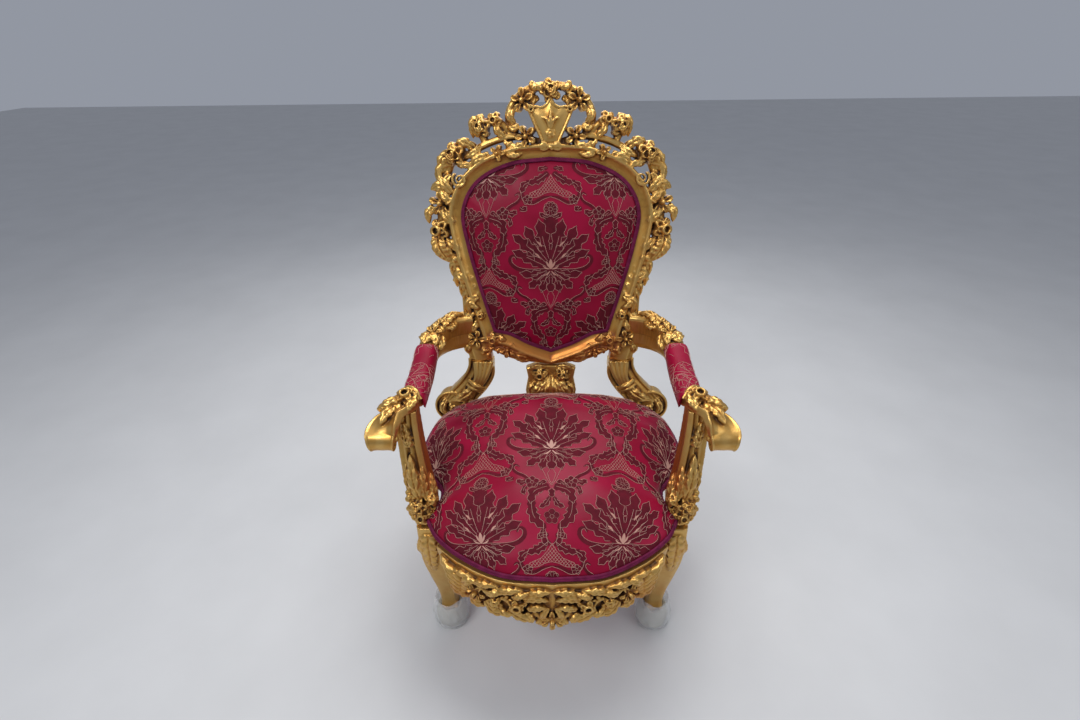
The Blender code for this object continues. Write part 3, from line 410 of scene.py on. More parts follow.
def coords(mesh):
    co = np.empty(len(mesh.vertices) * 3, np.float32)
    mesh.vertices.foreach_get("co", co)
    return co.reshape(-1, 3).astype(float)


def set_coords(mesh, co):
    mesh.vertices.foreach_set("co", np.asarray(co, np.float32).ravel())
    mesh.update()


def edges_of(mesh):
    e = np.empty(len(mesh.edges) * 2, np.int32)
    mesh.edges.foreach_get("vertices", e)
    return e.reshape(-1, 2)


def normals_of(mesh):
    n = np.empty(len(mesh.vertices) * 3, np.float32)
    mesh.vertices.foreach_get("normal", n)
    return n.reshape(-1, 3).astype(float)


def smoothed(values, edges, times):
    count = np.bincount(edges.ravel(), minlength=len(values)).astype(float)
    count = np.maximum(count, 1)
    flat = values if values.ndim == 2 else values[:, None]
    for _ in range(times):
        total = np.zeros_like(flat)
        for k in range(flat.shape[1]):
            ahead = np.bincount(edges[:, 0], flat[edges[:, 1], k], len(flat))
            behind = np.bincount(edges[:, 1], flat[edges[:, 0], k], len(flat))
            total[:, k] = ahead + behind
        flat = 0.35 * flat + 0.65 * total / count[:, None]
    return flat if values.ndim == 2 else flat[:, 0]


def tree_of(mesh):
    return BVHTree.FromPolygons([tuple(p) for p in coords(mesh)], [tuple(f.vertices) for f in mesh.polygons])


def occlusion_shade_of(mesh, reach=0.022, count=9, clear=0.0006, turn_step=2.4):
    """How much of the sky over each point is closed off by carving close by: 0 in the open, 1 in a pit. The
    gilding darkens its colour by this as painted shade.
    """
    co, normal = coords(mesh), normals_of(mesh)
    tree = tree_of(mesh)
    guide = np.where(np.abs(normal[:, 2:]) < 0.9, [[0.0, 0.0, 1.0]], [[1.0, 0.0, 0.0]])
    side = unit(np.cross(normal, guide))
    other = np.cross(normal, side)
    occlusion_shade = np.zeros(len(co))
    for k in range(count):
        turn = turn_step * k
        slope = 0.15 + 0.80 * (k + 0.5) / count
        way = normal * math.sqrt(1 - slope ** 2) + (side * math.cos(turn) + other * math.sin(turn)) * slope
        start = co + normal * clear
        for i in range(len(co)):
            found = tree.ray_cast(start[i], way[i], reach)[3]
            if found is not None:
                occlusion_shade[i] += 1 - 0.6 * found / reach
    return occlusion_shade / count


def tone(mesh, bole=None):
    """Stores how sunk each point lies and how closed in from the sky it is, which the gilding paints as
    shade, and where the red ground shows, for the gilding to read.
    """
    co, edges, normal = coords(mesh), edges_of(mesh), normals_of(mesh)
    fine = np.sum((smoothed(co, edges, 4) - co) * normal, axis=1)
    occlusion_shade = smoothed(occlusion_shade_of(mesh), edges, 2)
    # Painted shade: creases and pits closed in from the sky are darkened in the gilding's colour
    sunk = np.clip(0.20 + fine / 0.0007 * 0.30 + 1.45 * occlusion_shade, 0, 1)
    red = np.zeros(len(co)) if bole is None else np.clip(bole(co), 0, 1)
    data = np.stack([sunk, red, occlusion_shade, np.ones(len(co))], axis=1)
    layer = mesh.color_attributes.new("tone", "FLOAT_COLOR", "POINT")
    layer.data.foreach_set("color", data.astype(np.float32).ravel())


def carved(name, shells, nodes, material, bole, voxel, limit, plain=()):
    """Grows the shells into one surface and stands it in for the nodes."""
    mesh = raw_mesh(name, list(shells) + list(plain))
    obj = linked(name, mesh)
    remesh = obj.modifiers.new("grown together", "REMESH")
    remesh.mode = "VOXEL"
    remesh.voxel_size = voxel
    settle(obj)
    set_coords(obj.data, smoothed(coords(obj.data), edges_of(obj.data), 1))
    triangles = 2 * len(obj.data.polygons)
    if triangles > limit:
        fewer = obj.modifiers.new("fewer", "DECIMATE")
        fewer.ratio = limit / triangles
        settle(obj)
    tone(obj.data, bole)
    co = coords(obj.data)
    co[:, 1] += SHIFT
    set_coords(obj.data, co)
    obj.name = name
    obj.data.name = name
    obj.data.materials.clear()
    obj.data.materials.append(material)
    obj.data.shade_smooth()
    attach(obj, "root")
    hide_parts(*nodes)
    print(name, len(obj.data.polygons), "faces")
    return obj


# Outlines, as in the solids

PANEL_RIGHT = ((0.0, 1.0), (0.45, 0.977), (0.82, 0.896), (1.0, 0.756), (0.957, 0.574), (0.83, 0.340),
               (0.69, 0.117))
PANEL_FOOT = ((0.69, 0.117), (0.50, 0.098), (0.27, 0.045), (0.0, 0.0))
SEAT_FRONT = ((0.0, 0.0), (0.110, 0.010), (0.200, 0.051), (0.263, 0.099), (0.293, 0.145))
SEAT_SIDE = ((0.293, -0.215), (0.271, -0.158), (0.276, -0.118), (0.306, -0.080), (0.337, -0.015),
             (0.341, 0.045), (0.322, 0.110), (0.272, 0.162), (0.200, 0.182), (0.100, 0.186),
             (0.0, 0.186))
RAIL_SIDE = ((0.293, -0.215), (0.327, -0.160), (0.338, -0.080), (0.349, 0.000), (0.350, 0.060),
             (0.332, 0.128), (0.285, 0.196), (0.200, 0.232), (0.100, 0.240), (0.0, 0.240))


def spread_loop(loop, spread, turn):
    ahead = unit(np.roll(loop, -1, axis=0) - loop)
    behind = unit(loop - np.roll(loop, 1, axis=0))
    along = unit(ahead + behind)
    out = turn * np.stack([-along[:, 1], along[:, 0]], axis=1)
    stretch = 1 / np.clip(np.sum(ahead * along, axis=1), 0.7, 1)
    return loop + out * spread * stretch[:, None]


def panel_outline(count=160, spread=0.0):
    height = PANEL_TOP_V - PANEL_TIP_V
    foot_count = count // 5
    half = np.vstack([even(spline(PANEL_RIGHT, 16), count // 2 - foot_count + 2),
                      even(spline(PANEL_FOOT, 12), foot_count)[1:]])
    half = half * [PANEL_HALF, height] + [0, PANEL_TIP_V]
    loop = np.vstack([half, (half * [-1, 1])[::-1][1:-1]])
    return spread_loop(loop, spread, 1) if spread else loop


def seat_outline(count=120, spread=0.0):
    a = spline([(x, SEAT_FRONT_Y + y) for x, y in SEAT_FRONT], 16)
    b = spline(SEAT_SIDE, 16)
    half = np.vstack([even(a, count // 3 + 1), even(b, count - count // 3)[1:]])
    loop = np.vstack([half, (half * [-1, 1])[::-1][1:-1]])
    return spread_loop(loop, spread, -1) if spread else loop


def edge_z(y):
    return SEAT_EDGE_Z + SEAT_RISE * (y - SEAT_FRONT_Y) / (SEAT_BACK_Y - SEAT_FRONT_Y)


def rim_u(v):
    right = spline(PANEL_RIGHT, 8) * [PANEL_HALF, PANEL_TOP_V - PANEL_TIP_V] + [0, PANEL_TIP_V]
    side = right[right[:, 1] < PANEL_TIP_V + 0.76 * (PANEL_TOP_V - PANEL_TIP_V)]
    order = np.argsort(side[:, 1])
    return float(np.interp(v, side[order, 1], side[order, 0]))


# The carved pieces


def plate(points, w_back, w_front, shrink=1.0):
    pts = np.asarray(points, float)
    mid = pts.mean(axis=0)
    inner = mid + (pts - mid) * shrink
    rings = [[on_back(u, v, w_back) for u, v in pts], [on_back(u, v, w_front * 0.6) for u, v in pts]]
    rings.append([on_back(u, v, w_front) for u, v in inner])
    return loft(rings)


def back_band(points, half_width, w_back, w_front):
    path = np.array([on_back(u, v) for u, v in spline(points, 10)])
    return sweep(path, rounded(half_width, w_back, w_front, 0.5), up=BACK_OUT)


def back_leaf(points, width, thick=0.008, lobes=4, bite=0.32, depth=0.010, roll=0.0):
    return leaf([on_back(*p) for p in points], BACK_OUT, width, thick, lobes, bite, depth, roll=roll)


def back_leaves(*rows):
    """Leaves from rows of three points, then width, thickness and lobes."""
    return [back_leaf(points, width, thick, lobes) for *points, width, thick, lobes in rows]


def back_flower(kind, u, v, w, radius, height=None, lean=0.25, turn=0.0, seed=0):
    out = BACK_OUT + lean * np.sign(u) * np.array([1.0, 0, 0])
    return flower(kind, on_back(u, v, w), out, radius, height or radius * 0.75, turn, seed)


def back_scroll(u, v, w, start_u, start_v, radius, turns, width, thick):
    return scroll(on_back(u, v, w), BACK_OUT, on_back(start_u, start_v) - on_back(0, 0), radius,
                  turns, width, thick)


RING_SECTION = ((0.0005, 0.010), (0.003, 0.0105), (0.009, 0.0105), (0.018, 0.0135), (0.026, 0.0185),
                (FRAME_BAND - 0.002, 0.0242), (FRAME_BAND + 0.003, 0.0240), (FRAME_BAND + 0.006, 0.019),
                (FRAME_BAND + 0.006, FRAME_BACK_W), (0.0005, FRAME_BACK_W))


def ring_shell():
    loops = [panel_outline(160, o) for o, _ in RING_SECTION]
    rings = []
    for i in range(len(loops[0])):
        rings.append([on_back(loop[i][0], loop[i][1], w) for loop, (_, w) in zip(loops, RING_SECTION)])
    return loft(rings, closed=True)


def back_frame():
    s = [back_band(((0.228, 0.250), (0.170, 0.212), (0.100, 0.180), (0.0, 0.166)), 0.022,
                   FRAME_BACK_W, 0.012),
         back_band(((0.226, 0.365), (0.225, WAIST_V), (0.222, 0.240), (0.200, JOINT_V)), 0.026,
                   FRAME_BACK_W, 0.014)]
    # The foot of the stile opens out to meet the brace below
    s.append(plate([(0.172, JOINT_V + 0.003), (0.240, JOINT_V + 0.003), (0.244, 0.205), (0.240, 0.262),
                    (0.196, 0.262), (0.180, 0.205)], FRAME_BACK_W, 0.012))
    # The outer garland's stem, with its flowers from the shoulder down to the waist
    stem_line = [(rim_u(v) + out, v, 0.0) for v, out in ((0.330, 0.046), (0.400, 0.047), (0.470, 0.056),
                                                         (0.540, 0.062))]
    stem_line += [(0.290, 0.605, 0.0), (0.278, 0.660, 0.0), (0.262, 0.705, 0.0)]
    s.append(stem(stem_line, 0.012))
    s += back_flower("daisy", 0.291, 0.605, 0.006, 0.034, lean=0.35, turn=0.3)
    s += back_flower("eye", 0.300, 0.536, 0.008, 0.031, lean=0.45, turn=0.8)
    s += back_flower("bud", 0.262, 0.458, 0.010, 0.021, lean=0.4)
    s += back_flower("bud", 0.250, 0.424, 0.008, 0.016, lean=0.4, seed=2)
    s += back_flower("bud", 0.236, 0.330, 0.008, 0.014, lean=0.4, seed=3)
    # The reeded shell leaf and the serrated leaves below it
    s.append(back_leaf([(0.306, 0.522, 0.010), (0.303, 0.492, 0.020), (0.278, 0.450, 0.012)], 0.044, 0.010,
                       6, 0.22, roll=0.3))
    s.append(back_leaf([(0.290, 0.516, 0.006), (0.284, 0.484, 0.016), (0.266, 0.452, 0.010)], 0.030,
                       0.008, 5, 0.25))
    for v, out, reach, wide in ((0.436, 0.058, 0.030, 0.030), (0.406, 0.056, 0.030, 0.030),
                                (0.376, 0.052, 0.028, 0.026), (0.352, 0.050, 0.022, 0.022)):
        u = rim_u(v) + out
        s += back_leaves(
            ((u - 0.026, v + 0.034, 0.008), (u, v + 0.006, 0.012), (u + 0.006, v - reach, -0.002),
             wide, 0.008, 4),
            ((u - 0.016, v + 0.014, 0.006), (u - 0.012, v - 0.012, 0.012),
             (u - 0.020, v - reach - 0.008, 0.006), 0.020, 0.007, 3))
    # Struts from the band to the garland, each an opening leaf
    for v, tilt in ((0.655, 0.022), (0.622, 0.020), (0.572, 0.018), (0.500, 0.016), (0.410, 0.014)):
        inner = rim_u(min(v, 0.58)) + FRAME_BAND - 0.006
        s += back_leaves(
            ((inner, v - tilt, 0.014), (inner + 0.018, v, 0.018), (inner + 0.040, v + tilt, 0.006),
             0.026, 0.008, 3),
            ((inner, v + tilt, 0.012), (inner + 0.022, v, 0.014), (inner + 0.044, v - tilt, 0.006),
             0.022, 0.007, 3))
    s += back_leaves(
        ((0.262, 0.632, 0.004), (0.292, 0.650, 0.014), (0.318, 0.640, 0.002), 0.036, 0.008, 4),
        ((0.312, 0.596, 0.002), (0.328, 0.580, 0.010), (0.328, 0.552, 0.004), 0.026, 0.007, 3))
    # The corner: rose, the scroll below it and the leaf that folds over its outer side
    s += back_flower("rose", 0.250, 0.726, 0.008, 0.031, turn=0.5)
    s.append(stem([(0.262, 0.705, 0.006), (0.288, 0.694, 0.008), (0.286, 0.664, 0.008),
                   (0.256, 0.652, 0.010)], 0.010, reeds=6, groove=0.16))
    s.append(back_scroll(0.237, 0.664, 0.012, 0.6, 0.8, 0.020, -1.35, 0.026, 0.007))
    s += back_leaves(
        ((0.250, 0.730, 0.004), (0.280, 0.716, 0.012), (0.289, 0.684, 0.002), 0.032, 0.008, 4),
        ((0.268, 0.700, 0.004), (0.290, 0.690, 0.010), (0.300, 0.662, 0.002), 0.026, 0.007, 3),
        ((0.236, 0.700, 0.014), (0.214, 0.700, 0.018), (0.206, 0.684, 0.016), 0.020, 0.006, 3))
    # The crest: bowed stems, hoop, flowers and leaves
    s.append(stem([(0.020, 0.752, 0.0), (0.085, 0.768, 0.004), (0.150, 0.756, 0.004), (0.210, 0.728, 0.002),
                   (0.245, 0.700, 0.0)], 0.010, reeds=5, groove=0.14))
    s.append(stem([(0.085, 0.768, -0.002), (0.106, 0.812, 0.0), (0.088, 0.852, 0.0), (0.048, 0.878, 0.0),
                   (-0.004, 0.886, 0.0)], 0.010))
    s.append(stem([(0.095, 0.770, 0.0), (0.128, 0.798, 0.002), (0.160, 0.802, 0.002), (0.178, 0.784, 0.0),
                   (0.166, 0.752, 0.0)], 0.010))
    for kind, u, v, w, radius, seed in (("daisy", 0.070, 0.850, 0.010, 0.030, 1),
                                        ("bud", 0.040, 0.878, 0.008, 0.018, 0),
                                        ("daisy", 0.062, 0.767, 0.014, 0.028, 2),
                                        ("rose", 0.176, 0.790, 0.010, 0.027, 1),
                                        ("eye", 0.142, 0.806, 0.008, 0.021, 3),
                                        ("daisy", 0.136, 0.728, 0.018, 0.021, 0),
                                        ("bud", 0.108, 0.748, 0.012, 0.014, 1)):
        s += back_flower(kind, u, v, w, radius, seed=seed)
    s += back_leaves(
        ((0.196, 0.742, 0.004), (0.226, 0.756, 0.014), (0.246, 0.744, 0.004), 0.028, 0.008, 3),
        ((0.168, 0.812, 0.0), (0.196, 0.800, 0.010), (0.198, 0.764, 0.0), 0.028, 0.008, 3),
        ((0.094, 0.838, 0.0), (0.102, 0.814, 0.012), (0.086, 0.790, 0.0), 0.026, 0.008, 3),
        ((0.104, 0.740, 0.012), (0.078, 0.744, 0.018), (0.050, 0.744, 0.010), 0.022, 0.008, 3),
        ((0.158, 0.724, 0.012), (0.190, 0.714, 0.018), (0.216, 0.694, 0.010), 0.026, 0.008, 4),
        ((0.112, 0.726, 0.016), (0.092, 0.722, 0.020), (0.074, 0.726, 0.014), 0.018, 0.008, 3),
        ((0.180, 0.744, 0.006), (0.200, 0.728, 0.016), (0.226, 0.716, 0.008), 0.022, 0.008, 3),
        ((0.120, 0.768, 0.008), (0.136, 0.784, 0.014), (0.128, 0.806, 0.006), 0.022, 0.008, 3),
        ((0.032, 0.858, 0.0), (0.046, 0.846, 0.010), (0.050, 0.824, 0.002), 0.020, 0.008, 3),
        ((0.080, 0.792, 0.008), (0.094, 0.786, 0.014), (0.110, 0.792, 0.006), 0.020, 0.008, 3))
    # Waist ribbon leaf and rosebud, and the flower cluster at the lower corner
    s += back_leaves(
        ((0.206, 0.352, 0.012), (0.232, 0.336, 0.022), (0.230, 0.300, 0.016), 0.026, 0.008, 3),
        ((0.236, 0.344, 0.010), (0.216, 0.326, 0.024), (0.200, 0.318, 0.014), 0.022, 0.008, 3))
    s += back_flower("eye", 0.203, 0.296, 0.014, 0.017, lean=-0.1)
    s += back_leaves(
        ((0.222, 0.310, 0.010), (0.238, 0.286, 0.018), (0.240, 0.250, 0.008), 0.028, 0.008, 4),
        ((0.208, 0.282, 0.012), (0.220, 0.262, 0.018), (0.222, 0.240, 0.010), 0.022, 0.007, 3))
    for kind, u, v, w, radius, seed in (("daisy", 0.216, 0.226, 0.014, 0.027, 0),
                                        ("eye", 0.168, 0.224, 0.014, 0.022, 1),
                                        ("daisy", 0.126, 0.193, 0.012, 0.026, 2),
                                        ("bud", 0.194, 0.190, 0.012, 0.013, 0),
                                        ("bud", 0.174, 0.196, 0.014, 0.011, 1),
                                        ("bud", 0.156, 0.190, 0.012, 0.011, 2),
                                        ("bud", 0.184, 0.176, 0.010, 0.010, 2)):
        s += back_flower(kind, u, v, w, radius, lean=0.1, seed=seed)
    s += back_leaves(
        ((0.110, 0.182, 0.008), (0.086, 0.178, 0.018), (0.052, 0.166, 0.008), 0.026, 0.008, 4),
        ((0.104, 0.166, 0.006), (0.080, 0.160, 0.016), (0.060, 0.156, 0.006), 0.018, 0.007, 3),
        ((0.232, 0.216, 0.006), (0.244, 0.196, 0.012), (0.236, 0.172, 0.000), 0.024, 0.007, 3),
        ((0.150, 0.236, 0.014), (0.140, 0.226, 0.020), (0.128, 0.222, 0.014), 0.018, 0.006, 3))
    shells = both(s)
    shells += back_flower("rose", 0.0, 0.872, 0.010, 0.029)
    shells += crest_shield()
    return shells


def crest_shield():
    """A broad raised shield with points above, scrolled upper corners and a tied loop below."""
    half = [(0.0, 0.858), (0.010, 0.842), (0.024, 0.834), (0.040, 0.838), (0.058, 0.832), (0.050, 0.812),
            (0.040, 0.790), (0.029, 0.768), (0.018, 0.744)]
    outline = half + [(-u, v) for u, v in half[::-1][:-1]]
    fine = even(np.vstack([outline, outline[:1]]), 61)[:-1]
    out = [plate(fine[::-1], -0.014, 0.019, 0.90)]
    middle = np.array([0.0, 0.800])
    rings = []
    for scale, w in ((0.90, 0.016), (0.80, 0.0215), (0.55, 0.0245), (0.25, 0.0255)):
        rings.append([on_back(u, v, w) for u, v in (middle + (fine - middle) * scale)[::-1]])
    out.append(loft(rings))
    rim = np.array([on_back(u, v, 0.018) for u, v in middle + (fine - middle) * 0.95])
    out.append(sweep(rim, oval(0.0036, 0.0044, 10), up=BACK_OUT, closed=True))
    for k in (-1, 1):
        out.append(back_scroll(k * 0.050, 0.830, 0.018, 0.3 * k, 1.0, 0.009, 1.2 * k, 0.014, 0.004))
        out.append(back_leaf([(k * 0.002, 0.788, 0.024), (k * 0.010, 0.806, 0.028),
                              (k * 0.021, 0.810, 0.024)], 0.008, 0.004, 2, depth=0.004))
        loop = [(k * 0.002, 0.742, 0.016), (k * 0.016, 0.750, 0.020), (k * 0.028, 0.744, 0.018),
                (k * 0.018, 0.736, 0.018), (k * 0.002, 0.742, 0.018)]
        out.append(stem(loop, 0.0045))
    out.append(back_leaf([(0.0, 0.786, 0.024), (0.0, 0.808, 0.029), (0.0, 0.832, 0.022)], 0.010, 0.004,
                         2, depth=0.004))
    out += back_flower("daisy", 0.0, 0.774, 0.024, 0.011, 0.006, lean=0)
    out += back_flower("bud", 0.0, 0.741, 0.020, 0.008, 0.007)
    return out


def back_splat():
    half = [(0.050, 0.1415), (0.074, 0.132), (0.068, 0.100), (0.076, 0.060), (0.070, 0.010),
            (0.070, -0.0325)]
    outline = [(-u, v) for u, v in half] + half[::-1]
    out = [plate(outline, -0.018, 0.009, 0.94)]
    for side in (-1, 1):
        out += back_flower("rose" if side > 0 else "eye", side * 0.032, 0.112, 0.010, 0.025,
                           lean=0.1, turn=side)
    for k in (-2, -1, 0, 1, 2):
        tip = (k * 0.031, 0.022 + 0.013 * abs(k), 0.008)
        out.append(back_leaf([(k * 0.008, 0.104, 0.006), (k * 0.020, 0.070, 0.026), tip], 0.034, 0.008, 4))
    for k in (-1, 1):
        out.append(back_leaf([(k * 0.040, 0.090, 0.006), (k * 0.058, 0.070, 0.016),
                              (k * 0.062, 0.042, 0.008)], 0.026, 0.007, 3))
        out.append(back_leaf([(k * 0.018, 0.134, 0.006), (k * 0.044, 0.138, 0.014),
                              (k * 0.064, 0.126, 0.006)], 0.020, 0.006, 3))
    return out


def leg_post(rows):
    rows = spline(rows[::-1], 6)
    corners = []
    for k in range(24):
        a = k / 24 * math.tau
        c, s = math.cos(a), math.sin(a)
        grow = (abs(c) ** 5 + abs(s) ** 5) ** -0.2
        corners.append((c * grow, s * grow))
    return loft([[(x + h * a, y + h * b, z) for a, b in corners] for z, x, y, h in rows])


def rear_leg(sign):
    line = spline([(0.286, 0.006, 0.004), (0.262, 0.040, 0.004), (0.226, 0.080, 0.002), (0.203, 0.120, 0.0),
                   (0.200, JOINT_V - 0.001, 0.0)], 10)
    path = np.array([on_back(*p) for p in line])
    section = [(-0.036, -0.038), (0.050, -0.038), (0.050, 0.000), (0.044, 0.008), (0.030, 0.014),
               (-0.026, 0.014), (-0.036, 0.018), (-0.036, 0.0)]
    widen = np.interp(np.linspace(0, 1, len(path)), [0, 0.3, 0.75, 1], [1.0, 0.86, 0.84, 0.80])
    s = [sweep(path, section, up=BACK_OUT, scales=[(q, 1) for q in widen])]
    # The scrolled foot of the brace: a smooth raised rim rolling round a leafy eye
    turns = np.arange(36) / 36 * math.tau
    disc = [(0.304 + 0.046 * math.cos(a), 0.010 + 0.046 * math.sin(a)) for a in turns]
    s.append(plate(disc, -0.037, 0.012, 0.94))
    rim = np.array([on_back(u, v, 0.012) for u, v in disc])
    s.append(sweep(rim, oval(0.0048, 0.0070, 10), up=BACK_OUT, closed=True))
    for off in (-0.034, 0.046):
        edge = [on_back(p[0] + off * 0.86, p[1] + off * 0.40 * 0.86, 0.010) for p in line[4:-2]]
        s.append(sweep(np.array(edge), oval(0.0048, 0.0060, 10), up=BACK_OUT))
    for k in (-1.5, -0.5, 0.5, 1.5):
        s.append(stem([(0.199 + 0.016 * k, 0.156, 0.016), (0.206 + 0.010 * k, 0.112, 0.023),
                       (0.224 + 0.005 * k, 0.080 + 0.004 * k, 0.022)], 0.0072))
    s.append(stem([(0.200, 0.070, 0.016), (0.222, 0.084, 0.032), (0.246, 0.098, 0.016)], 0.0064))
    s.append(stem([(0.206, 0.058, 0.016), (0.228, 0.072, 0.030), (0.252, 0.084, 0.016)], 0.0056))
    s += back_leaves(
        ((0.228, 0.076, 0.018), (0.262, 0.050, 0.030), (0.306, 0.030, 0.014), 0.036, 0.009, 4),
        ((0.236, 0.062, 0.016), (0.256, 0.022, 0.026), (0.288, -0.012, 0.014), 0.030, 0.008, 4),
        ((0.318, 0.034, 0.010), (0.330, 0.004, 0.020), (0.310, -0.022, 0.012), 0.024, 0.007, 4))
    s += back_flower("bud", 0.302, 0.008, 0.012, 0.014, 0.014, lean=0)
    rows = ((0.462, 0.290, 0.232, 0.022), (0.420, 0.288, 0.216, 0.027), (0.345, 0.286, 0.212, 0.027),
            (0.240, 0.282, 0.232, 0.024), (0.120, 0.276, 0.274, 0.020),
            (0.030, REAR_FOOT_X, 0.322, 0.019), (0.0, REAR_FOOT_X, REAR_FOOT_Y, 0.018))
    return handed(s, sign), handed([leg_post(rows)], sign)


def front_leg(sign):
    rows = ((RAIL_TOP_Z - 0.002, 0.300, -0.190, 0.031), (0.350, 0.299, -0.192, 0.033),
            (0.300, 0.296, -0.196, 0.033), (0.230, 0.292, -0.194, 0.027), (0.150, 0.287, -0.186, 0.022),
            (0.095, FOOT_X, -0.182, 0.021), (0.060, FOOT_X, -0.184, 0.025),
            (0.022, FOOT_X, FOOT_Y, 0.029), (0.0, FOOT_X, FOOT_Y, 0.026))
    s = []
    for k, (lift, reach) in enumerate(((0.0, 0.012), (-0.026, 0.006), (-0.050, 0.0))):
        path = [(0.300, -0.221, 0.398 + lift), (0.302, -0.229, 0.364 + lift), (0.299, -0.221, 0.312 + lift)]
        s.append(leaf(path, (0.2, -1, 0), 0.036 + reach, 0.009, 4, depth=0.014))
    for k in (-1, 1):
        path = [(0.300 + 0.014 * k, -0.218, 0.392), (0.302 + 0.024 * k, -0.222, 0.350),
                (0.298 + 0.018 * k, -0.214, 0.300)]
        s.append(leaf(path, (0.5 * k, -1, 0), 0.022, 0.007, 3, depth=0.010))
    return handed(s, sign), handed([leg_post(rows)], sign)


def hand_line(count=70):
    """The hand's middle line from the pad's end over the front into its roll, its widths and its ups."""
    lead = [(0.322, -0.066, 0.704), (0.330, -0.092, 0.711), (0.350, -0.118, 0.707),
            (HAND_X - 0.010, HAND_Y + 0.016, HAND_Z + ROLL_RADIUS + 0.008)]
    turns = np.radians(np.linspace(72, -420, 17))
    reach = np.interp(turns, np.radians([-420, -250, -150, 72]), [0.006, 0.015, 0.021, ROLL_RADIUS - 0.006])
    roll = [(HAND_X, HAND_Y - r * math.cos(a), HAND_Z + r * math.sin(a)) for a, r in zip(turns, reach)]
    path = even(spline(lead + roll, 8), count)
    widths = np.interp(np.linspace(0, 1, count), [0, 0.10, 0.24, 0.34, 0.46, 0.60, 0.75, 1],
                       [0.023, 0.028, 0.034, 0.038, 0.036, 0.028, 0.024, 0.030])
    up = path - np.array([HAND_X, HAND_Y, HAND_Z])
    up[:, 0] = 0
    early = np.clip((path[:, 1] + 0.135) / 0.03, 0, 1)[:, None]
    early[count // 3:] = 0
    return path, widths, unit(unit(up) * (1 - early) + early * [0, 0, 1.0])


def arm(sign):
    line = [(0.232, 0.276, 0.730, 0.088), (0.262, 0.262, 0.732, 0.084), (0.298, 0.224, 0.736, 0.078),
            (0.321, 0.165, 0.730, 0.056), (0.327, 0.100, 0.712, 0.026), (0.324, 0.020, 0.702, 0.018),
            (0.321, -0.060, 0.702, 0.018), (0.328, -0.086, 0.708, 0.018)]
    line = spline(line, 12)
    along = unit(np.gradient(line[:, :3], axis=0))
    side = unit(np.cross(along, [0, 0, 1.0]))
    rings = []
    for (x, y, z, low), q in zip(line, side):
        deep = min(1.0, low / 0.05)
        section = [(-0.020, -low), (-0.012, -low - 0.002), (0.012, -low - 0.002), (0.020, -low),
                   (0.022 + 0.002 * deep, -low * 0.82), (0.0215, -low * 0.45), (0.026, 0.002),
                   (0.025, 0.009), (0.018, 0.015), (-0.018, 0.015), (-0.025, 0.009), (-0.026, 0.002),
                   (-0.0215, -low * 0.45), (-0.022 - 0.002 * deep, -low * 0.82)]
        rings.append([np.array([x, y, z + h]) + q * w for w, h in section])
    s = [loft(rings)]
    # The out-turned hand: a broad smooth band with a rolled rim, forward, over and in on itself
    path, widths, ups = hand_line()
    thick = 0.0095
    section = [(-1.0, -thick), (1.0, -thick), (1.0, thick * 0.6), (0.97, thick), (0.90, thick * 1.05),
               (0.80, thick * 0.72), (0.40, thick * 0.60), (0.0, thick * 0.66), (-0.40, thick * 0.60),
               (-0.80, thick * 0.72), (-0.90, thick * 1.05), (-0.97, thick), (-1.0, thick * 0.6)]
    thins = np.interp(np.linspace(0, 1, len(path)), [0, 0.2, 0.5, 1], [1.3, 1.1, 0.80, 0.42])
    s.append(sweep(path, section, up=ups, scales=[(w, t) for w, t in zip(widths, thins)]))
    s.append(placed(dome_drum(0.009, 0.062), (HAND_X, HAND_Y, HAND_Z), frame_at((1.0, 0, 0))))
    # Acanthus collar at the pad's end, open rose and leaves on the hand
    collar = spline([(0.300, -0.098, 0.716), (0.314, -0.086, 0.733), (0.334, -0.074, 0.733),
                     (0.350, -0.066, 0.716)], 8)
    s.append(sweep(collar, oval(0.0055, 0.0055, 12), up=(0, -0.4, 1)))
    s += flower("eye", (0.334, -0.100, 0.724), (0.05, -0.30, 1), 0.027, 0.020)
    top = (
        ((0.312, -0.094, 0.720), (0.318, -0.118, 0.722), (0.330, -0.138, 0.708), 0.028, (-0.3, -0.3, 1)),
        ((0.346, -0.104, 0.722), (0.368, -0.124, 0.728), (0.394, -0.134, 0.714), 0.034, (0.1, 0.1, 1)),
        ((0.346, -0.118, 0.718), (0.366, -0.146, 0.718), (0.380, -0.170, 0.700), 0.034, (0.1, -0.5, 1)))
    for *points, width, out in top:
        s.append(leaf(points, out, width, 0.008, 4, 0.30, 0.010))
    # Flowers and leaves where the arm bends in to the back
    s += flower("six", (0.318, 0.158, 0.744), (0.2, -0.35, 1), 0.028, 0.019)
    s += flower("daisy", (0.298, 0.202, 0.750), (0.1, -0.5, 1), 0.020, 0.016)
    s += flower("bud", (0.316, 0.190, 0.748), (0.4, -0.2, 1), 0.013, 0.013)
    bend = (
        ((0.322, 0.154, 0.744), (0.332, 0.138, 0.746), (0.334, 0.119, 0.736), 0.046, (0, 0, 1)),
        ((0.308, 0.154, 0.742), (0.307, 0.138, 0.742), (0.306, 0.119, 0.730), 0.030, (-0.4, 0, 1)),
        ((0.300, 0.196, 0.750), (0.276, 0.240, 0.758), (0.250, 0.262, 0.750), 0.034, (0, -0.5, 1)),
        ((0.304, 0.168, 0.738), (0.292, 0.140, 0.728), (0.298, 0.122, 0.712), 0.030, (-0.6, -0.2, 1)),
        ((0.290, 0.200, 0.742), (0.276, 0.206, 0.738), (0.262, 0.232, 0.738), 0.024, (-0.5, -0.5, 1)),
        ((0.318, 0.186, 0.744), (0.306, 0.222, 0.750), (0.288, 0.246, 0.748), 0.026, (0.3, 0, 1)))
    for *points, width, out in bend:
        s.append(leaf(points, out, width, 0.008, 4, 0.34, 0.008))
    return handed(s, sign)


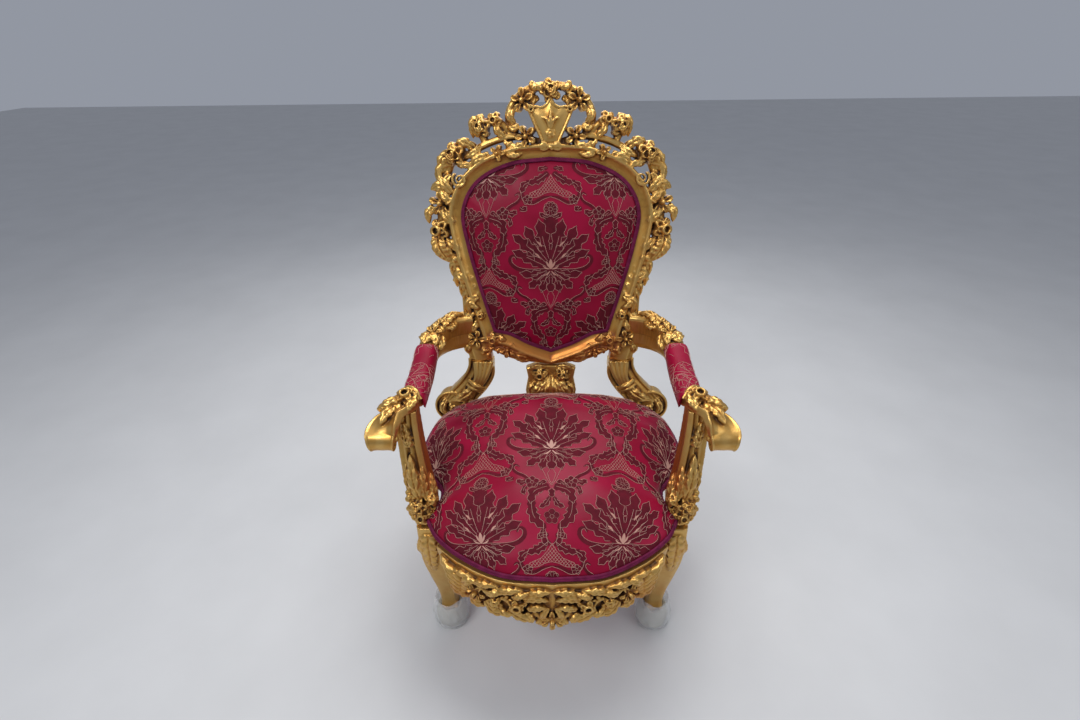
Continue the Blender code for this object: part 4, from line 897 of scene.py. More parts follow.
def dome_drum(radius, width):
    rings = []
    for r, z in ((0.55, -0.56), (0.86, -0.50), (1.0, -0.40), (1.0, 0.40), (0.86, 0.50), (0.55, 0.56)):
        rings.append(circle(radius * r, width * z, 24))
    return loft(rings)


def arm_support(sign):
    path = spline([(0.310, -0.180, RAIL_TOP_Z + GAP), (0.312, -0.172, 0.480), (0.322, -0.152, 0.540),
                   (0.330, -0.132, 0.600),
                   (0.334, -0.116, 0.664), (0.334, -0.108, 0.696)], 12)
    section = [(-0.028, -0.022), (-0.010, -0.0235), (0.020, -0.022), (0.028, -0.012), (0.028, 0.018),
               (0.016, 0.020), (0.010, 0.024), (0.003, 0.018), (-0.003, 0.024), (-0.010, 0.018),
               (-0.016, 0.024), (-0.028, 0.016), (-0.024, -0.003)]
    widen = np.interp(np.linspace(0, 1, len(path)), [0, 0.25, 0.6, 1], [1.10, 1.12, 0.98, 0.86])
    s = [sweep(path, section, up=(0, -1, 0), scales=[(q, 1) for q in widen])]
    for k, (dx, dy, z, radius, kind) in enumerate(((0.010, -0.026, 0.478, 0.024, "rose"),
                                                   (-0.022, -0.018, 0.492, 0.018, "rose"),
                                                   (0.004, -0.030, 0.446, 0.021, "eye"),
                                                   (0.028, -0.012, 0.500, 0.017, "bud"),
                                                   (0.030, -0.016, 0.462, 0.014, "bud"),
                                                   (-0.018, -0.022, 0.460, 0.014, "daisy"))):
        s += flower(kind, (0.308 + dx, -0.178 + dy, z), (dx * 12, -1, 0.5), radius, radius * 0.8,
                    turn=k, seed=k)
    leaves = (
        ((0.314, -0.194, 0.500), (0.324, -0.186, 0.545), (0.330, -0.160, 0.604), 0.030, (0, -1, 0.2)),
        ((0.300, -0.192, 0.498), (0.303, -0.182, 0.530), (0.308, -0.160, 0.572), 0.026, (-0.3, -1, 0.2)),
        ((0.326, -0.188, 0.506), (0.340, -0.174, 0.540), (0.344, -0.152, 0.580), 0.026, (0.5, -1, 0.2)),
        ((0.288, -0.182, 0.486), (0.284, -0.176, 0.512), (0.290, -0.158, 0.544), 0.024, (-0.7, -1, 0.1)),
        ((0.312, -0.204, 0.436), (0.330, -0.204, 0.446), (0.346, -0.190, 0.470), 0.022, (0.4, -1, 0.2)),
        ((0.330, -0.150, 0.620), (0.336, -0.144, 0.650), (0.338, -0.138, 0.680), 0.026, (0.2, -1, 0)))
    for *points, width, out in leaves:
        s.append(leaf(points, out, width, 0.010, 4, 0.30, 0.010))
    return handed(s, sign)


def rail(line, outer, inner, bottoms, top=RAIL_TOP_Z - GAP):
    along = unit(np.gradient(line, axis=0))
    out = np.stack([along[:, 1], -along[:, 0]], axis=1)
    rings = []
    for p, o, b in zip(line, out, bottoms):
        a = p + o * outer
        c = p + o * inner
        m = a * 0.7 + c * 0.3
        hollow = a * 0.86 + c * 0.14
        rings.append([(a[0], a[1], b + 0.012), (hollow[0], hollow[1], (b + top) / 2 - 0.004),
                      (a[0], a[1], top - 0.009), (a[0], a[1], top),
                      (c[0], c[1], top), (c[0], c[1], b), (m[0], m[1], b)])
    return loft(rings)


def front_rail():
    half = even(spline([(x, SEAT_FRONT_Y + y) for x, y in SEAT_FRONT[:-1]], 16), 40)
    line = np.vstack([(half * [-1, 1])[::-1][:-1], half])
    bottoms = np.interp(np.abs(line[:, 0]), [0, 0.06, 0.15, 0.22, 0.27],
                        [0.312, 0.318, 0.318, 0.330, 0.345])
    base = rail(line, RAIL_STEP_OUT, RAIL_STEP_OUT - RAIL_THICK, bottoms)
    along = unit(np.gradient(line, axis=0))

    def at(x, z, out=RELIEF):
        slope = float(np.interp(x, line[:, 0], along[:, 1] / along[:, 0]))
        face = unit((slope, -1.0))
        front = float(np.interp(x, line[:, 0], line[:, 1])) - RELIEF * math.hypot(1, slope)
        return np.array([x + face[0] * (out - RELIEF), front + face[1] * (out - RELIEF), z])

    def facing(x, up=0.15):
        slope = float(np.interp(x, line[:, 0], along[:, 1] / along[:, 0]))
        return unit((slope, -1.0, up))

    s = []
    for kind, x, z, radius, seed in (("six", 0.172, 0.354, 0.027, 0), ("eye", 0.078, 0.352, 0.024, 1),
                                     ("rose", 0.127, 0.346, 0.019, 2), ("bud", 0.104, 0.366, 0.012, 0),
                                     ("bud", 0.150, 0.374, 0.011, 1), ("daisy", 0.040, 0.340, 0.015, 3),
                                     ("bud", 0.200, 0.338, 0.012, 1)):
        s += flower(kind, at(x, z), facing(x), radius, radius * 0.8, turn=x * 30, seed=seed)
    # Wing leaves at the ends, each a fan of long reeded lobes
    for k in range(4):
        a = (0.190 + 0.004 * k, 0.362 - 0.010 * k)
        b = (0.230 - 0.004 * k, 0.392 - 0.018 * k)
        c = (0.258 - 0.006 * k, 0.409 - 0.021 * k)
        s.append(leaf([at(*a), at(*b, out=0.023), at(*c)], facing(0.24), 0.030, 0.010, 4, 0.30, 0.012))
    for x, wide in ((0.030, 0.034), (0.095, 0.036), (0.150, 0.034), (0.205, 0.030)):
        s.append(leaf([at(x + 0.030, 0.386, 0.012), at(x, 0.399, 0.019), at(x - 0.030, 0.398, 0.012)],
                      facing(x), wide * 0.62, 0.008, 4, 0.30, 0.010))
    rows = (((0.150, 0.338), (0.128, 0.318), (0.098, 0.312), 0.030),
            ((0.185, 0.338), (0.172, 0.322), (0.150, 0.314), 0.026),
            ((0.062, 0.372), (0.038, 0.384), (0.006, 0.368), 0.024),
            ((0.100, 0.326), (0.064, 0.310), (0.036, 0.296), 0.030),
            ((0.146, 0.368), (0.128, 0.384), (0.104, 0.386), 0.022),
            ((0.200, 0.366), (0.188, 0.388), (0.164, 0.394), 0.024),
            ((0.086, 0.376), (0.070, 0.390), (0.050, 0.394), 0.018),
            ((0.054, 0.338), (0.032, 0.350), (0.012, 0.342), 0.022),
            ((0.060, 0.322), (0.048, 0.306), (0.052, 0.288), 0.022),
            ((0.120, 0.330), (0.104, 0.318), (0.082, 0.316), 0.022),
            ((0.218, 0.340), (0.206, 0.328), (0.188, 0.322), 0.022))
    for a, b, c, width in rows:
        s.append(leaf([at(*a), at(*b, out=0.021), at(*c)], facing(b[0]), width, 0.009, 4, 0.30, 0.012))
    # The pierced drop: two stems and a middle one coming together at the hanging flower
    s.append(sweep(spline([at(0.052, 0.330, 0.004), at(0.034, 0.312, 0.010), at(0.0, 0.296, 0.012)], 12),
                   oval(0.009, 0.009, 12), up=(0, -1, 0)))
    s.append(leaf([at(0.010, 0.340, 0.012), at(0.020, 0.320, 0.020), at(0.016, 0.300, 0.012)], facing(0.01),
                  0.018, 0.007, 3, 0.3, 0.008))
    s.append(leaf([at(0.020, 0.306, 0.012), at(0.030, 0.290, 0.018), at(0.024, 0.276, 0.010)], facing(0.01),
                  0.020, 0.007, 3, 0.3, 0.008))
    shells = both(s)
    shells.append(sweep(spline([at(0, 0.330, 0.002), at(0, 0.314, 0.008), at(0, 0.296, 0.010)], 12),
                        oval(0.006, 0.006, 12), up=(0, -1, 0)))
    shells += flower("six", at(0.0, 0.297, 0.012), (0, -1, 0.1), 0.030, 0.022, turn=0.5)
    return shells, [base]


def side_rail(sign):
    curve = even(spline(RAIL_SIDE, 8), 60)
    line = even(curve[(curve[:, 1] > -0.168) & (curve[:, 1] < 0.180) & (curve[:, 0] > 0.27)], 30)
    return handed([rail(line, 0.0, -RAIL_THICK, np.full(len(line), RAIL_BOTTOM_Z))], sign)


def back_rail():
    curve = even(spline(RAIL_SIDE, 8), 60)
    half = even(curve[(curve[:, 1] > 0.15) & (curve[:, 0] < 0.256)], 20)[::-1]
    line = np.vstack([(half * [-1, 1])[::-1][:-1], half])
    return [rail(line[::-1], 0.0, -0.036, np.full(len(line), RAIL_BOTTOM_Z - 0.01))]


# Materials


def blank(name):
    made = bpy.data.materials.new(name)
    made.use_nodes = True
    return made, made.node_tree.nodes, made.node_tree.links, made.node_tree.nodes["Principled BSDF"]


def noise(nodes, links, scale, detail=3.0, rough=0.55, stretch=None):
    place = nodes.new("ShaderNodeTexCoord")
    tex = nodes.new("ShaderNodeTexNoise")
    tex.inputs["Scale"].default_value = scale
    tex.inputs["Detail"].default_value = detail
    tex.inputs["Roughness"].default_value = rough
    if stretch is None:
        links.new(place.outputs["Object"], tex.inputs["Vector"])
    else:
        mapping = nodes.new("ShaderNodeMapping")
        mapping.inputs["Scale"].default_value = stretch
        links.new(place.outputs["Object"], mapping.inputs["Vector"])
        links.new(mapping.outputs["Vector"], tex.inputs["Vector"])
    return tex.outputs["Fac"]


def ramp(nodes, links, value, stops):
    made = nodes.new("ShaderNodeValToRGB")
    marks = made.color_ramp.elements
    while len(marks) < len(stops):
        marks.new(0.5)
    for mark, (at, colour) in zip(marks, stops):
        mark.position = at
        mark.color = (*colour, 1.0) if len(colour) == 3 else colour
    links.new(value, made.inputs["Fac"])
    return made.outputs["Color"]


def grey(at, value):
    return at, (value, value, value)


def blend(nodes, links, share, a, b, mode="MIX"):
    made = nodes.new("ShaderNodeMix")
    made.data_type = "RGBA"
    made.blend_type = mode
    for socket, value in ((made.inputs["Factor"], share), (made.inputs["A"], a), (made.inputs["B"], b)):
        if isinstance(value, (int, float)):
            socket.default_value = value
        elif isinstance(value, tuple):
            socket.default_value = (*value, 1.0)
        else:
            links.new(value, socket)
    return made.outputs["Result"]


def maths(nodes, links, kind, a, b):
    made = nodes.new("ShaderNodeMath")
    made.operation = kind
    for socket, value in zip(made.inputs, (a, b)):
        if isinstance(value, (int, float)):
            socket.default_value = value
        else:
            links.new(value, socket)
    return made.outputs["Value"]


def bump(nodes, links, shader, height, strength, distance):
    made = nodes.new("ShaderNodeBump")
    made.inputs["Strength"].default_value = strength
    made.inputs["Distance"].default_value = distance
    links.new(height, made.inputs["Height"])
    links.new(made.outputs["Normal"], shader.inputs["Normal"])


def gilding(name="gold_leaf"):
    """Burnished gold leaf on the high places, brown glaze with painted shade deepening to near black in the
    hollows, red bole where the leaf is thin.
    """
    made, nodes, links, shader = blank(name)
    tone_in = nodes.new("ShaderNodeAttribute")
    tone_in.attribute_name = "tone"
    parts = nodes.new("ShaderNodeSeparateColor")
    links.new(tone_in.outputs["Color"], parts.inputs["Color"])
    cloud = noise(nodes, links, 26.0, 5.0, 0.6)
    grain = noise(nodes, links, 420.0, 3.0, 0.6)
    shake = maths(nodes, links, "MULTIPLY", maths(nodes, links, "SUBTRACT", cloud, 0.5), 0.22)
    sunk = maths(nodes, links, "ADD", parts.outputs["Red"], shake)
    # Painted shade: the colour runs from gold through brown to near black as a point lies more sunk and
    # closed in
    colour = ramp(nodes, links, sunk, ((0.14, (0.66, 0.41, 0.125)), (0.34, (0.52, 0.28, 0.062)),
                                       (0.50, (0.30, 0.135, 0.026)),
                                       (0.66, (0.110, 0.046, 0.012)), (0.86, (0.026, 0.011, 0.005))))
    warm = ramp(nodes, links, cloud, (grey(0.44, 0.0), grey(0.70, 1.0)))
    colour = blend(nodes, links, maths(nodes, links, "MULTIPLY", warm, 0.30), colour, (0.58, 0.23, 0.035))
    colour = blend(nodes, links, maths(nodes, links, "MULTIPLY", parts.outputs["Green"], 0.85), colour,
                   (0.42, 0.110, 0.022))
    links.new(colour, shader.inputs["Base Color"])
    links.new(ramp(nodes, links, sunk, (grey(0.30, 0.88), grey(0.80, 0.20))), shader.inputs["Metallic"])
    rough = ramp(nodes, links, sunk, (grey(0.20, 0.33), grey(0.50, 0.42), grey(0.80, 0.65)))
    rough = blend(nodes, links, 0.5, rough, ramp(nodes, links, cloud, (grey(0.35, 0.32), grey(0.70, 0.50))))
    links.new(rough, shader.inputs["Roughness"])
    bump(nodes, links, shader, grain, 0.10, 0.0006)
    return made


def satin(name, deep, light, weave=1400.0):
    made, nodes, links, shader = blank(name)
    cloud = noise(nodes, links, 9.0, 2.0)
    ribs = noise(nodes, links, weave, 1.0, 0.4, (0.25, 1.0, 1.0))
    colour = blend(nodes, links, ramp(nodes, links, cloud, (grey(0.35, 0.0), grey(0.65, 1.0))), deep, light)
    colour = blend(nodes, links, 0.16, colour, ramp(nodes, links, ribs, (grey(0.3, 0.25), grey(0.7, 1.0))),
                   "MULTIPLY")
    links.new(colour, shader.inputs["Base Color"])
    links.new(ramp(nodes, links, ribs, (grey(0.3, 0.34), grey(0.7, 0.46))), shader.inputs["Roughness"])
    shader.inputs["Sheen Weight"].default_value = 0.02
    shader.inputs["Sheen Roughness"].default_value = 0.35
    shader.inputs["Sheen Tint"].default_value = (1.0, 0.30, 0.45, 1.0)
    shader.inputs["Specular IOR Level"].default_value = 0.18
    bump(nodes, links, shader, ribs, 0.12, 0.0002)
    return made


def velvet(name, deep, light, sheen=0.8, tint=(0.95, 0.25, 0.40, 1.0)):
    made, nodes, links, shader = blank(name)
    cloud = noise(nodes, links, 60.0, 4.0)
    pile = noise(nodes, links, 1600.0, 2.0, 0.6)
    colour = blend(nodes, links, ramp(nodes, links, cloud, (grey(0.35, 0.0), grey(0.68, 1.0))), deep, light)
    colour = blend(nodes, links, 0.25, colour, ramp(nodes, links, pile, (grey(0.3, 0.4), grey(0.7, 1.0))),
                   "MULTIPLY")
    links.new(colour, shader.inputs["Base Color"])
    links.new(ramp(nodes, links, pile, (grey(0.3, 0.70), grey(0.7, 0.88))), shader.inputs["Roughness"])
    shader.inputs["Sheen Weight"].default_value = sheen
    shader.inputs["Sheen Roughness"].default_value = 0.30
    shader.inputs["Sheen Tint"].default_value = tint
    shader.inputs["Specular IOR Level"].default_value = 0.25
    bump(nodes, links, shader, pile, 0.35, 0.0004)
    return made


def thread(name, deep, light, rough=0.42):
    made, nodes, links, shader = blank(name)
    cloud = noise(nodes, links, 900.0, 2.0)
    links.new(blend(nodes, links, cloud, deep, light), shader.inputs["Base Color"])
    links.new(ramp(nodes, links, cloud, (grey(0.3, rough - 0.06), grey(0.7, rough + 0.12))),
              shader.inputs["Roughness"])
    shader.inputs["Sheen Weight"].default_value = 0.3
    bump(nodes, links, shader, cloud, 0.30, 0.0003)
    return made


def film(name):
    made, nodes, links, shader = blank(name)
    cloud = noise(nodes, links, 60.0, 4.0)
    links.new(ramp(nodes, links, cloud, (grey(0.3, 0.80), grey(0.7, 0.95))), shader.inputs["Base Color"])
    links.new(ramp(nodes, links, cloud, (grey(0.4, 0.06), grey(0.7, 0.22))), shader.inputs["Roughness"])
    shader.inputs["Alpha"].default_value = 0.26
    shader.inputs["Specular IOR Level"].default_value = 0.9
    shader.inputs["Coat Weight"].default_value = 0.6
    bump(nodes, links, shader, cloud, 0.5, 0.003)
    return made


def foam(name):
    made, nodes, links, shader = blank(name)
    cells = noise(nodes, links, 380.0, 3.0, 0.6)
    links.new(ramp(nodes, links, cells, ((0.3, (0.34, 0.32, 0.25)), (0.7, (0.56, 0.55, 0.47)))),
              shader.inputs["Base Color"])
    links.new(ramp(nodes, links, cells, (grey(0.3, 0.75), grey(0.7, 0.92))), shader.inputs["Roughness"])
    bump(nodes, links, shader, cells, 0.4, 0.001)
    return made


# The damask, drawn flat and then laid over each stuffed form

DAMASK_REPEAT = 0.490
DAMASK_STEP = 0.172
PILE = 0.0007
THREAD = 0.00075
THREAD_STEP = 0.0032


def blade(points, width, teeth=4, bite=0.50, base=0.16, count=49):
    """A broad lobed leaf: its outline, and the lines that edge and vein it."""
    path = even(spline(points, 8), count)
    tangent = unit(np.gradient(path, axis=0))
    side = np.stack([-tangent[:, 1], tangent[:, 0]], axis=1)
    t = np.linspace(0, 1, count)
    shape = np.sin(math.pi * np.clip(base + (1 - base) * t ** 1.25, 0, 1)) ** 0.75
    lobe = np.abs(np.sin(math.pi * (t * teeth + 0.12)))
    half = 0.5 * width * shape * (1 - bite * (1 - lobe ** 0.8))
    left, right = path + side * half[:, None], path - side * half[:, None]
    curl = tangent * (0.10 * width * np.sin(math.tau * t * teeth) * shape)[:, None]
    left, right = left + curl, right + curl
    start = count // 4
    edge = np.vstack([left[start:], right[start:-1][::-1]])
    return np.vstack([left, right[:-1][::-1]]), [edge, path[3:int(count * 0.62)]]


def ribbon(points, width, count=26):
    path = even(spline(points, 8), count)
    tangent = unit(np.gradient(path, axis=0))
    side = np.stack([-tangent[:, 1], tangent[:, 0]], axis=1)
    half = 0.5 * width * np.interp(np.linspace(0, 1, count), [0, 0.2, 0.8, 1], [0.5, 1, 0.8, 0.3])
    left, right = path + side * half[:, None], path - side * half[:, None]
    return np.vstack([left, right[::-1]]), [left]


def bloom(x, y, radius, petals=5, turn=0.0):
    a = np.arange(petals * 8) / (petals * 8) * math.tau
    r = radius * (0.70 + 0.30 * np.abs(np.cos(petals * (a - turn) / 2)) ** 0.8)
    ring = np.stack([x + r * np.sin(a), y + r * np.cos(a)], axis=1)
    eye = np.stack([x + radius * 0.26 * np.sin(a[::3]), y + radius * 0.26 * np.cos(a[::3])], axis=1)
    reaches = (0.34, 0.5, 0.66)
    spokes = []
    for k in range(petals):
        b = turn + (k + 0.5) / petals * math.tau
        way = np.array([math.sin(b), math.cos(b)])
        spokes.append(np.array([(x + radius * q * way[0], y + radius * q * way[1]) for q in reaches]))
    return ring, [np.vstack([ring, ring[:1]]), np.vstack([eye, eye[:1]])] + spokes


MEDALLION = (((0.002, -0.030), (0.018, 0.020), (0.032, 0.082), 0.044, 4),
             ((0.004, -0.034), (0.042, 0.016), (0.068, 0.064), 0.042, 4),
             ((0.004, -0.040), (0.056, 0.006), (0.102, 0.042), 0.040, 5),
             ((0.006, -0.046), (0.060, -0.020), (0.104, 0.000), 0.034, 4),
             ((0.006, -0.052), (0.046, -0.066), (0.086, -0.060), 0.028, 3),
             ((0.006, -0.054), (0.038, -0.082), (0.060, -0.104), 0.034, 4),
             ((0.004, -0.056), (0.018, -0.088), (0.026, -0.116), 0.028, 3))
LEAFAGE = (((0.004, 0.084), (0.018, 0.088), (0.030, 0.098), 0.014, 2),
           ((0.006, -0.160), (0.040, -0.174), (0.050, -0.206), 0.030, 4),
           ((0.048, -0.196), (0.042, -0.232), (0.018, -0.262), 0.030, 4),
           ((0.018, -0.250), (0.020, -0.276), (0.012, -0.304), 0.018, 3),
           ((0.004, -0.190), (0.014, -0.206), (0.030, -0.214), 0.016, 3),
           ((0.058, -0.146), (0.072, -0.150), (0.084, -0.142), 0.018, 3),
           ((0.060, -0.160), (0.066, -0.172), (0.062, -0.184), 0.014, 2),
           ((0.092, -0.134), (0.100, -0.140), (0.110, -0.132), 0.016, 2),
           ((0.030, -0.160), (0.022, -0.150), (0.010, -0.150), 0.014, 2),
           ((0.006, 0.200), (0.030, 0.182), (0.060, 0.170), 0.026, 4),
           ((0.054, 0.176), (0.070, 0.166), (0.076, 0.146), 0.022, 3),
           ((0.008, 0.214), (0.024, 0.212), (0.034, 0.204), 0.016, 2))
PALE = (((0.0, -0.050), (0.0, -0.036), (0.0, -0.022), 0.010, 1),
        ((0.003, -0.046), (0.008, -0.038), (0.012, -0.028), 0.005, 1),
        ((0.004, -0.050), (0.014, -0.047), (0.022, -0.040), 0.004, 1),
        ((0.030, -0.020), (0.036, -0.012), (0.044, -0.008), 0.005, 1),
        ((0.024, 0.010), (0.030, 0.018), (0.038, 0.024), 0.005, 1),
        ((0.002, -0.056), (0.010, -0.064), (0.020, -0.068), 0.004, 1))
TRELLIS = ((0.0, 0.194), (0.010, 0.176), (0.026, 0.158), (0.054, 0.146), (0.058, 0.134), (0.034, 0.136),
           (0.014, 0.146), (0.0, 0.149))


def tile():
    """One repeat about its medallion: what is raised pile, what is pale, and the lines of thread."""
    pile, pale, lines = [], [], []

    def add(shape, to=pile):
        outline, edges = shape
        for flip in (1, -1):
            to.append(outline * [flip, 1])
            if to is pile:
                lines.extend(e * [flip, 1] for e in edges)

    for a, b, c, width, teeth in MEDALLION + LEAFAGE:
        add(blade((a, b, c), width, teeth))
    add(ribbon([(0.006, -0.052), (0.050, -0.056), (0.088, -0.050), (0.108, -0.034), (0.108, -0.018),
                (0.097, -0.014), (0.092, -0.024)], 0.012))
    add(ribbon([(0.046, -0.150), (0.066, -0.132), (0.084, -0.122), (0.094, -0.108), (0.088, -0.098),
                (0.078, -0.104)], 0.008))
    add(ribbon([(0.076, 0.150), (0.066, 0.128), (0.046, 0.122), (0.020, 0.134), (0.0, 0.138)], 0.010))
    add(bloom(0.046, -0.150, 0.017))
    add(bloom(0.112, -0.116, 0.013))
    add(bloom(0.000, 0.106, 0.019, turn=0.3))
    add(bloom(0.000, -0.235, 0.018))
    pile.append(blade(((0, -0.020), (0, 0.040), (0, 0.096)), 0.060, 4)[0])
    turns = np.arange(24) / 24 * math.tau
    pile.append(np.array([(0.034 * math.sin(a), -0.030 + 0.040 * math.cos(a)) for a in turns]))
    for y0, y1, wide in ((-0.062, -0.112, 0.030), (-0.166, -0.190, 0.018)):
        outline, edges = blade(((0, y1), (0, (y0 + y1) / 2), (0, y0)), wide, 2)
        pile.append(outline)
        lines.append(np.vstack([outline, outline[:1]]))
    for flip in (1, -1):
        lines.append(np.array([(0.004 * flip, -0.114), (0.010 * flip, -0.126),
                               (0.006 * flip, -0.142), (0, -0.156)]))
        lines.append(np.array([(0.026 * flip, -0.106), (0.018 * flip, -0.124),
                               (0.009 * flip, -0.146), (0, -0.160)]))
        lines.append(np.array([(0.014 * flip, -0.270), (0.010 * flip, -0.290), (0, -0.300)]))
    for a, b, c, width, teeth in PALE:
        add(blade((a, b, c), width, teeth, 0.0, count=10), pale)
    border = np.array(TRELLIS)
    lines.append(np.vstack([border * [-1, 1], border[::-1]]))
    lines += lattice(border)
    return pile, pale, lines


def lattice(border, gap=0.0082):
    """Crossed lines inside the trellis, cut where they leave it."""
    loop = np.vstack([border, (border * [-1, 1])[::-1]])
    found = []
    for slope in (1.25, -1.25):
        for k in range(-16, 17):
            xs = np.linspace(-0.06, 0.06, 81)
            ys = 0.160 + slope * xs + k * gap * 1.25
            inside = within(np.stack([xs, ys], axis=1), loop)
            run = []
            for x, y, keep in zip(xs, ys, inside):
                if keep:
                    run.append((x, y))
                elif len(run) > 2:
                    found.append(np.array([run[0], run[-1]]))
                    run = []
                else:
                    run = []
            if len(run) > 2:
                found.append(np.array([run[0], run[-1]]))
    return found


def within(points, loop):
    """Which points lie inside a closed loop."""
    x, y = points[:, 0], points[:, 1]
    inside = np.zeros(len(points), bool)
    for (x0, y0), (x1, y1) in zip(loop, np.roll(loop, -1, axis=0)):
        if y0 == y1:
            continue
        crosses = (y0 > y) != (y1 > y)
        inside ^= crosses & (x < (x1 - x0) * (y - y0) / (y1 - y0) + x0)
    return inside


def pattern(origins):
    return [[shape + at for at in origins for shape in group] for group in tile()]


def ccw(shape):
    x, y = shape[:, 0], shape[:, 1]
    return shape if np.sum(x * np.roll(y, -1) - y * np.roll(x, -1)) > 0 else shape[::-1]


def laid_cloth(name, outline, drawn, place, spacing, materials, skirt, rings=()):
    """A closed piece: cloth cut to the outline, pile raised on it, its edges turned in along the skirt."""
    pile, pale, _ = drawn
    low, high = outline.min(axis=0), outline.max(axis=0)
    shapes = [ccw(outline)]
    kinds = [0]
    for group, kind in ((pile, 1), (pale, 2)):
        for shape in group:
            if (shape.max(axis=0) > low).all() and (shape.min(axis=0) < high).all():
                shapes.append(ccw(shape))
                kinds.append(kind)
    points, faces = [], []
    for shape in shapes:
        faces.append(list(range(len(points), len(points) + len(shape))))
        points += [Vector(p) for p in shape]
    xs, ys = np.arange(low[0], high[0], spacing), np.arange(low[1], high[1], spacing)
    grid = np.stack(np.meshgrid(xs, ys), axis=-1)
    grid[1::2, :, 0] += spacing / 2
    grid = grid.reshape(-1, 2)
    inside = grid[within(grid, outline * 0.985 + 0.015 * (low + high) / 2)]
    points += [Vector(p) for p in np.vstack([inside, *rings])]
    out = geometry.delaunay_2d_cdt(points, [], faces, 1, 1e-6, True)
    flat = np.array([(p.x, p.y) for p in out[0]])
    kept, kind_of = [], []
    for face, origin in zip(out[2], out[5]):
        if 0 in origin and len(face) == 3:
            kept.append(face)
            kind_of.append(max(kinds[i] for i in origin))
    tri, kind_of = np.array(kept), np.array(kind_of)
    return raised(name, flat, tri, kind_of, place, materials, skirt)


def raised(name, flat, tri, kind_of, place, materials, skirt):
    n = len(flat)
    base, up = place(flat)
    top = base + up * PILE
    tri_all = tri + n * (kind_of > 0)[:, None]
    edge_count = {}
    for (a, b, c), kind in zip(tri.tolist(), kind_of.tolist()):
        for e in ((a, b), (b, c), (c, a)):
            edge_count.setdefault((min(e), max(e)), []).append((e, kind > 0))
    walls, rim = [], []
    for sides in edge_count.values():
        if len(sides) == 2 and sides[0][1] != sides[1][1]:
            (a, b), _ = sides[0] if sides[0][1] else sides[1]
            walls.append((a, b, b + n, a + n))
        elif len(sides) == 1:
            rim.append((sides[0][0][0], sides[0][0][1], sides[0][1]))
    faces = [tuple(f) for f in tri_all.tolist()] + walls
    mats = kind_of.tolist() + [1] * len(walls)
    verts = [base, top]
    at = 2 * n
    rim_verts = sorted({v for e in rim for v in e[:2]})
    order = {v: i for i, v in enumerate(rim_verts)}
    loops = skirt(flat[rim_verts])
    verts += loops
    width = len(order)
    for a, b, high in rim:
        first = (a + n, b + n) if high else (a, b)
        faces.append((first[1], first[0], at + order[a], at + order[b]))
        mats.append(0)
        for k in range(len(loops) - 1):
            o = at + k * width
            faces.append((o + order[b], o + order[a], o + width + order[a], o + width + order[b]))
            mats.append(0)
    verts = np.vstack(verts)
    used = np.zeros(len(verts), bool)
    for f in faces:
        used[list(f)] = True
    index = np.cumsum(used) - 1
    mesh = bpy.data.meshes.new(name)
    mesh.from_pydata([tuple(p) for p in verts[used]], [], [tuple(int(index[i]) for i in f) for f in faces])
    mesh.polygons.foreach_set("material_index", np.array(mats, np.int32))
    work = bmesh.new()
    work.from_mesh(mesh)
    open_edges = [e for e in work.edges if e.is_boundary]
    bmesh.ops.holes_fill(work, edges=open_edges, sides=0)
    bmesh.ops.triangulate(work, faces=[f for f in work.faces if len(f.verts) > 4])
    bmesh.ops.recalc_face_normals(work, faces=work.faces)
    work.to_mesh(mesh)
    work.free()
    for m in materials:
        mesh.materials.append(m)
    mesh.shade_smooth()
    mesh.set_sharp_from_angle(angle=math.radians(50))
    return linked(name, mesh)


def stitched(name, lines, outline, place, material, width=THREAD, lift=PILE):
    """The pale outlines: fine raised threads that follow the cloth."""
    verts, faces = [], []
    section = [(-1.0, -0.6), (1.0, -0.6), (0.0, 1.0)]
    for line in lines:
        flat = even(line, max(2, int(length_of(line) / THREAD_STEP) + 1))
        inside = within(flat, outline)
        start = 0
        runs = []
        for i, keep in enumerate(list(inside) + [False]):
            if not keep:
                if i - start >= 2:
                    runs.append(flat[start:i])
                start = i + 1
        for run in runs:
            base, up = place(run)
            path = base + up * (lift + width * 0.45)
            tangent = unit(np.gradient(path, axis=0))
            side = unit(np.cross(tangent, up))
            at = sum(len(v) for v in verts) if verts else 0
            here = np.arange(len(run))
            ends = np.minimum(1, np.minimum(here + 0.5, len(run) - here - 0.5))[:, None, None]
            ring = np.stack([side * x * width * 0.5 + up * y * width * 0.5 for x, y in section], axis=1)
            verts.append((path[:, None, :] + ring * (0.4 + 0.6 * ends)).reshape(-1, 3))
            for i in range(len(run) - 1):
                o = at + 3 * i
                for k in range(3):
                    m = (k + 1) % 3
                    faces.append((o + k, o + m, o + 3 + m, o + 3 + k))
            faces.append((at + 2, at + 1, at))
            o = at + 3 * (len(run) - 1)
            faces.append((o, o + 1, o + 2))
    mesh = bpy.data.meshes.new(name)
    mesh.from_pydata([tuple(p) for p in np.vstack(verts)], [], faces)
    mesh.materials.append(material)
    mesh.shade_smooth()
    return linked(name, mesh)


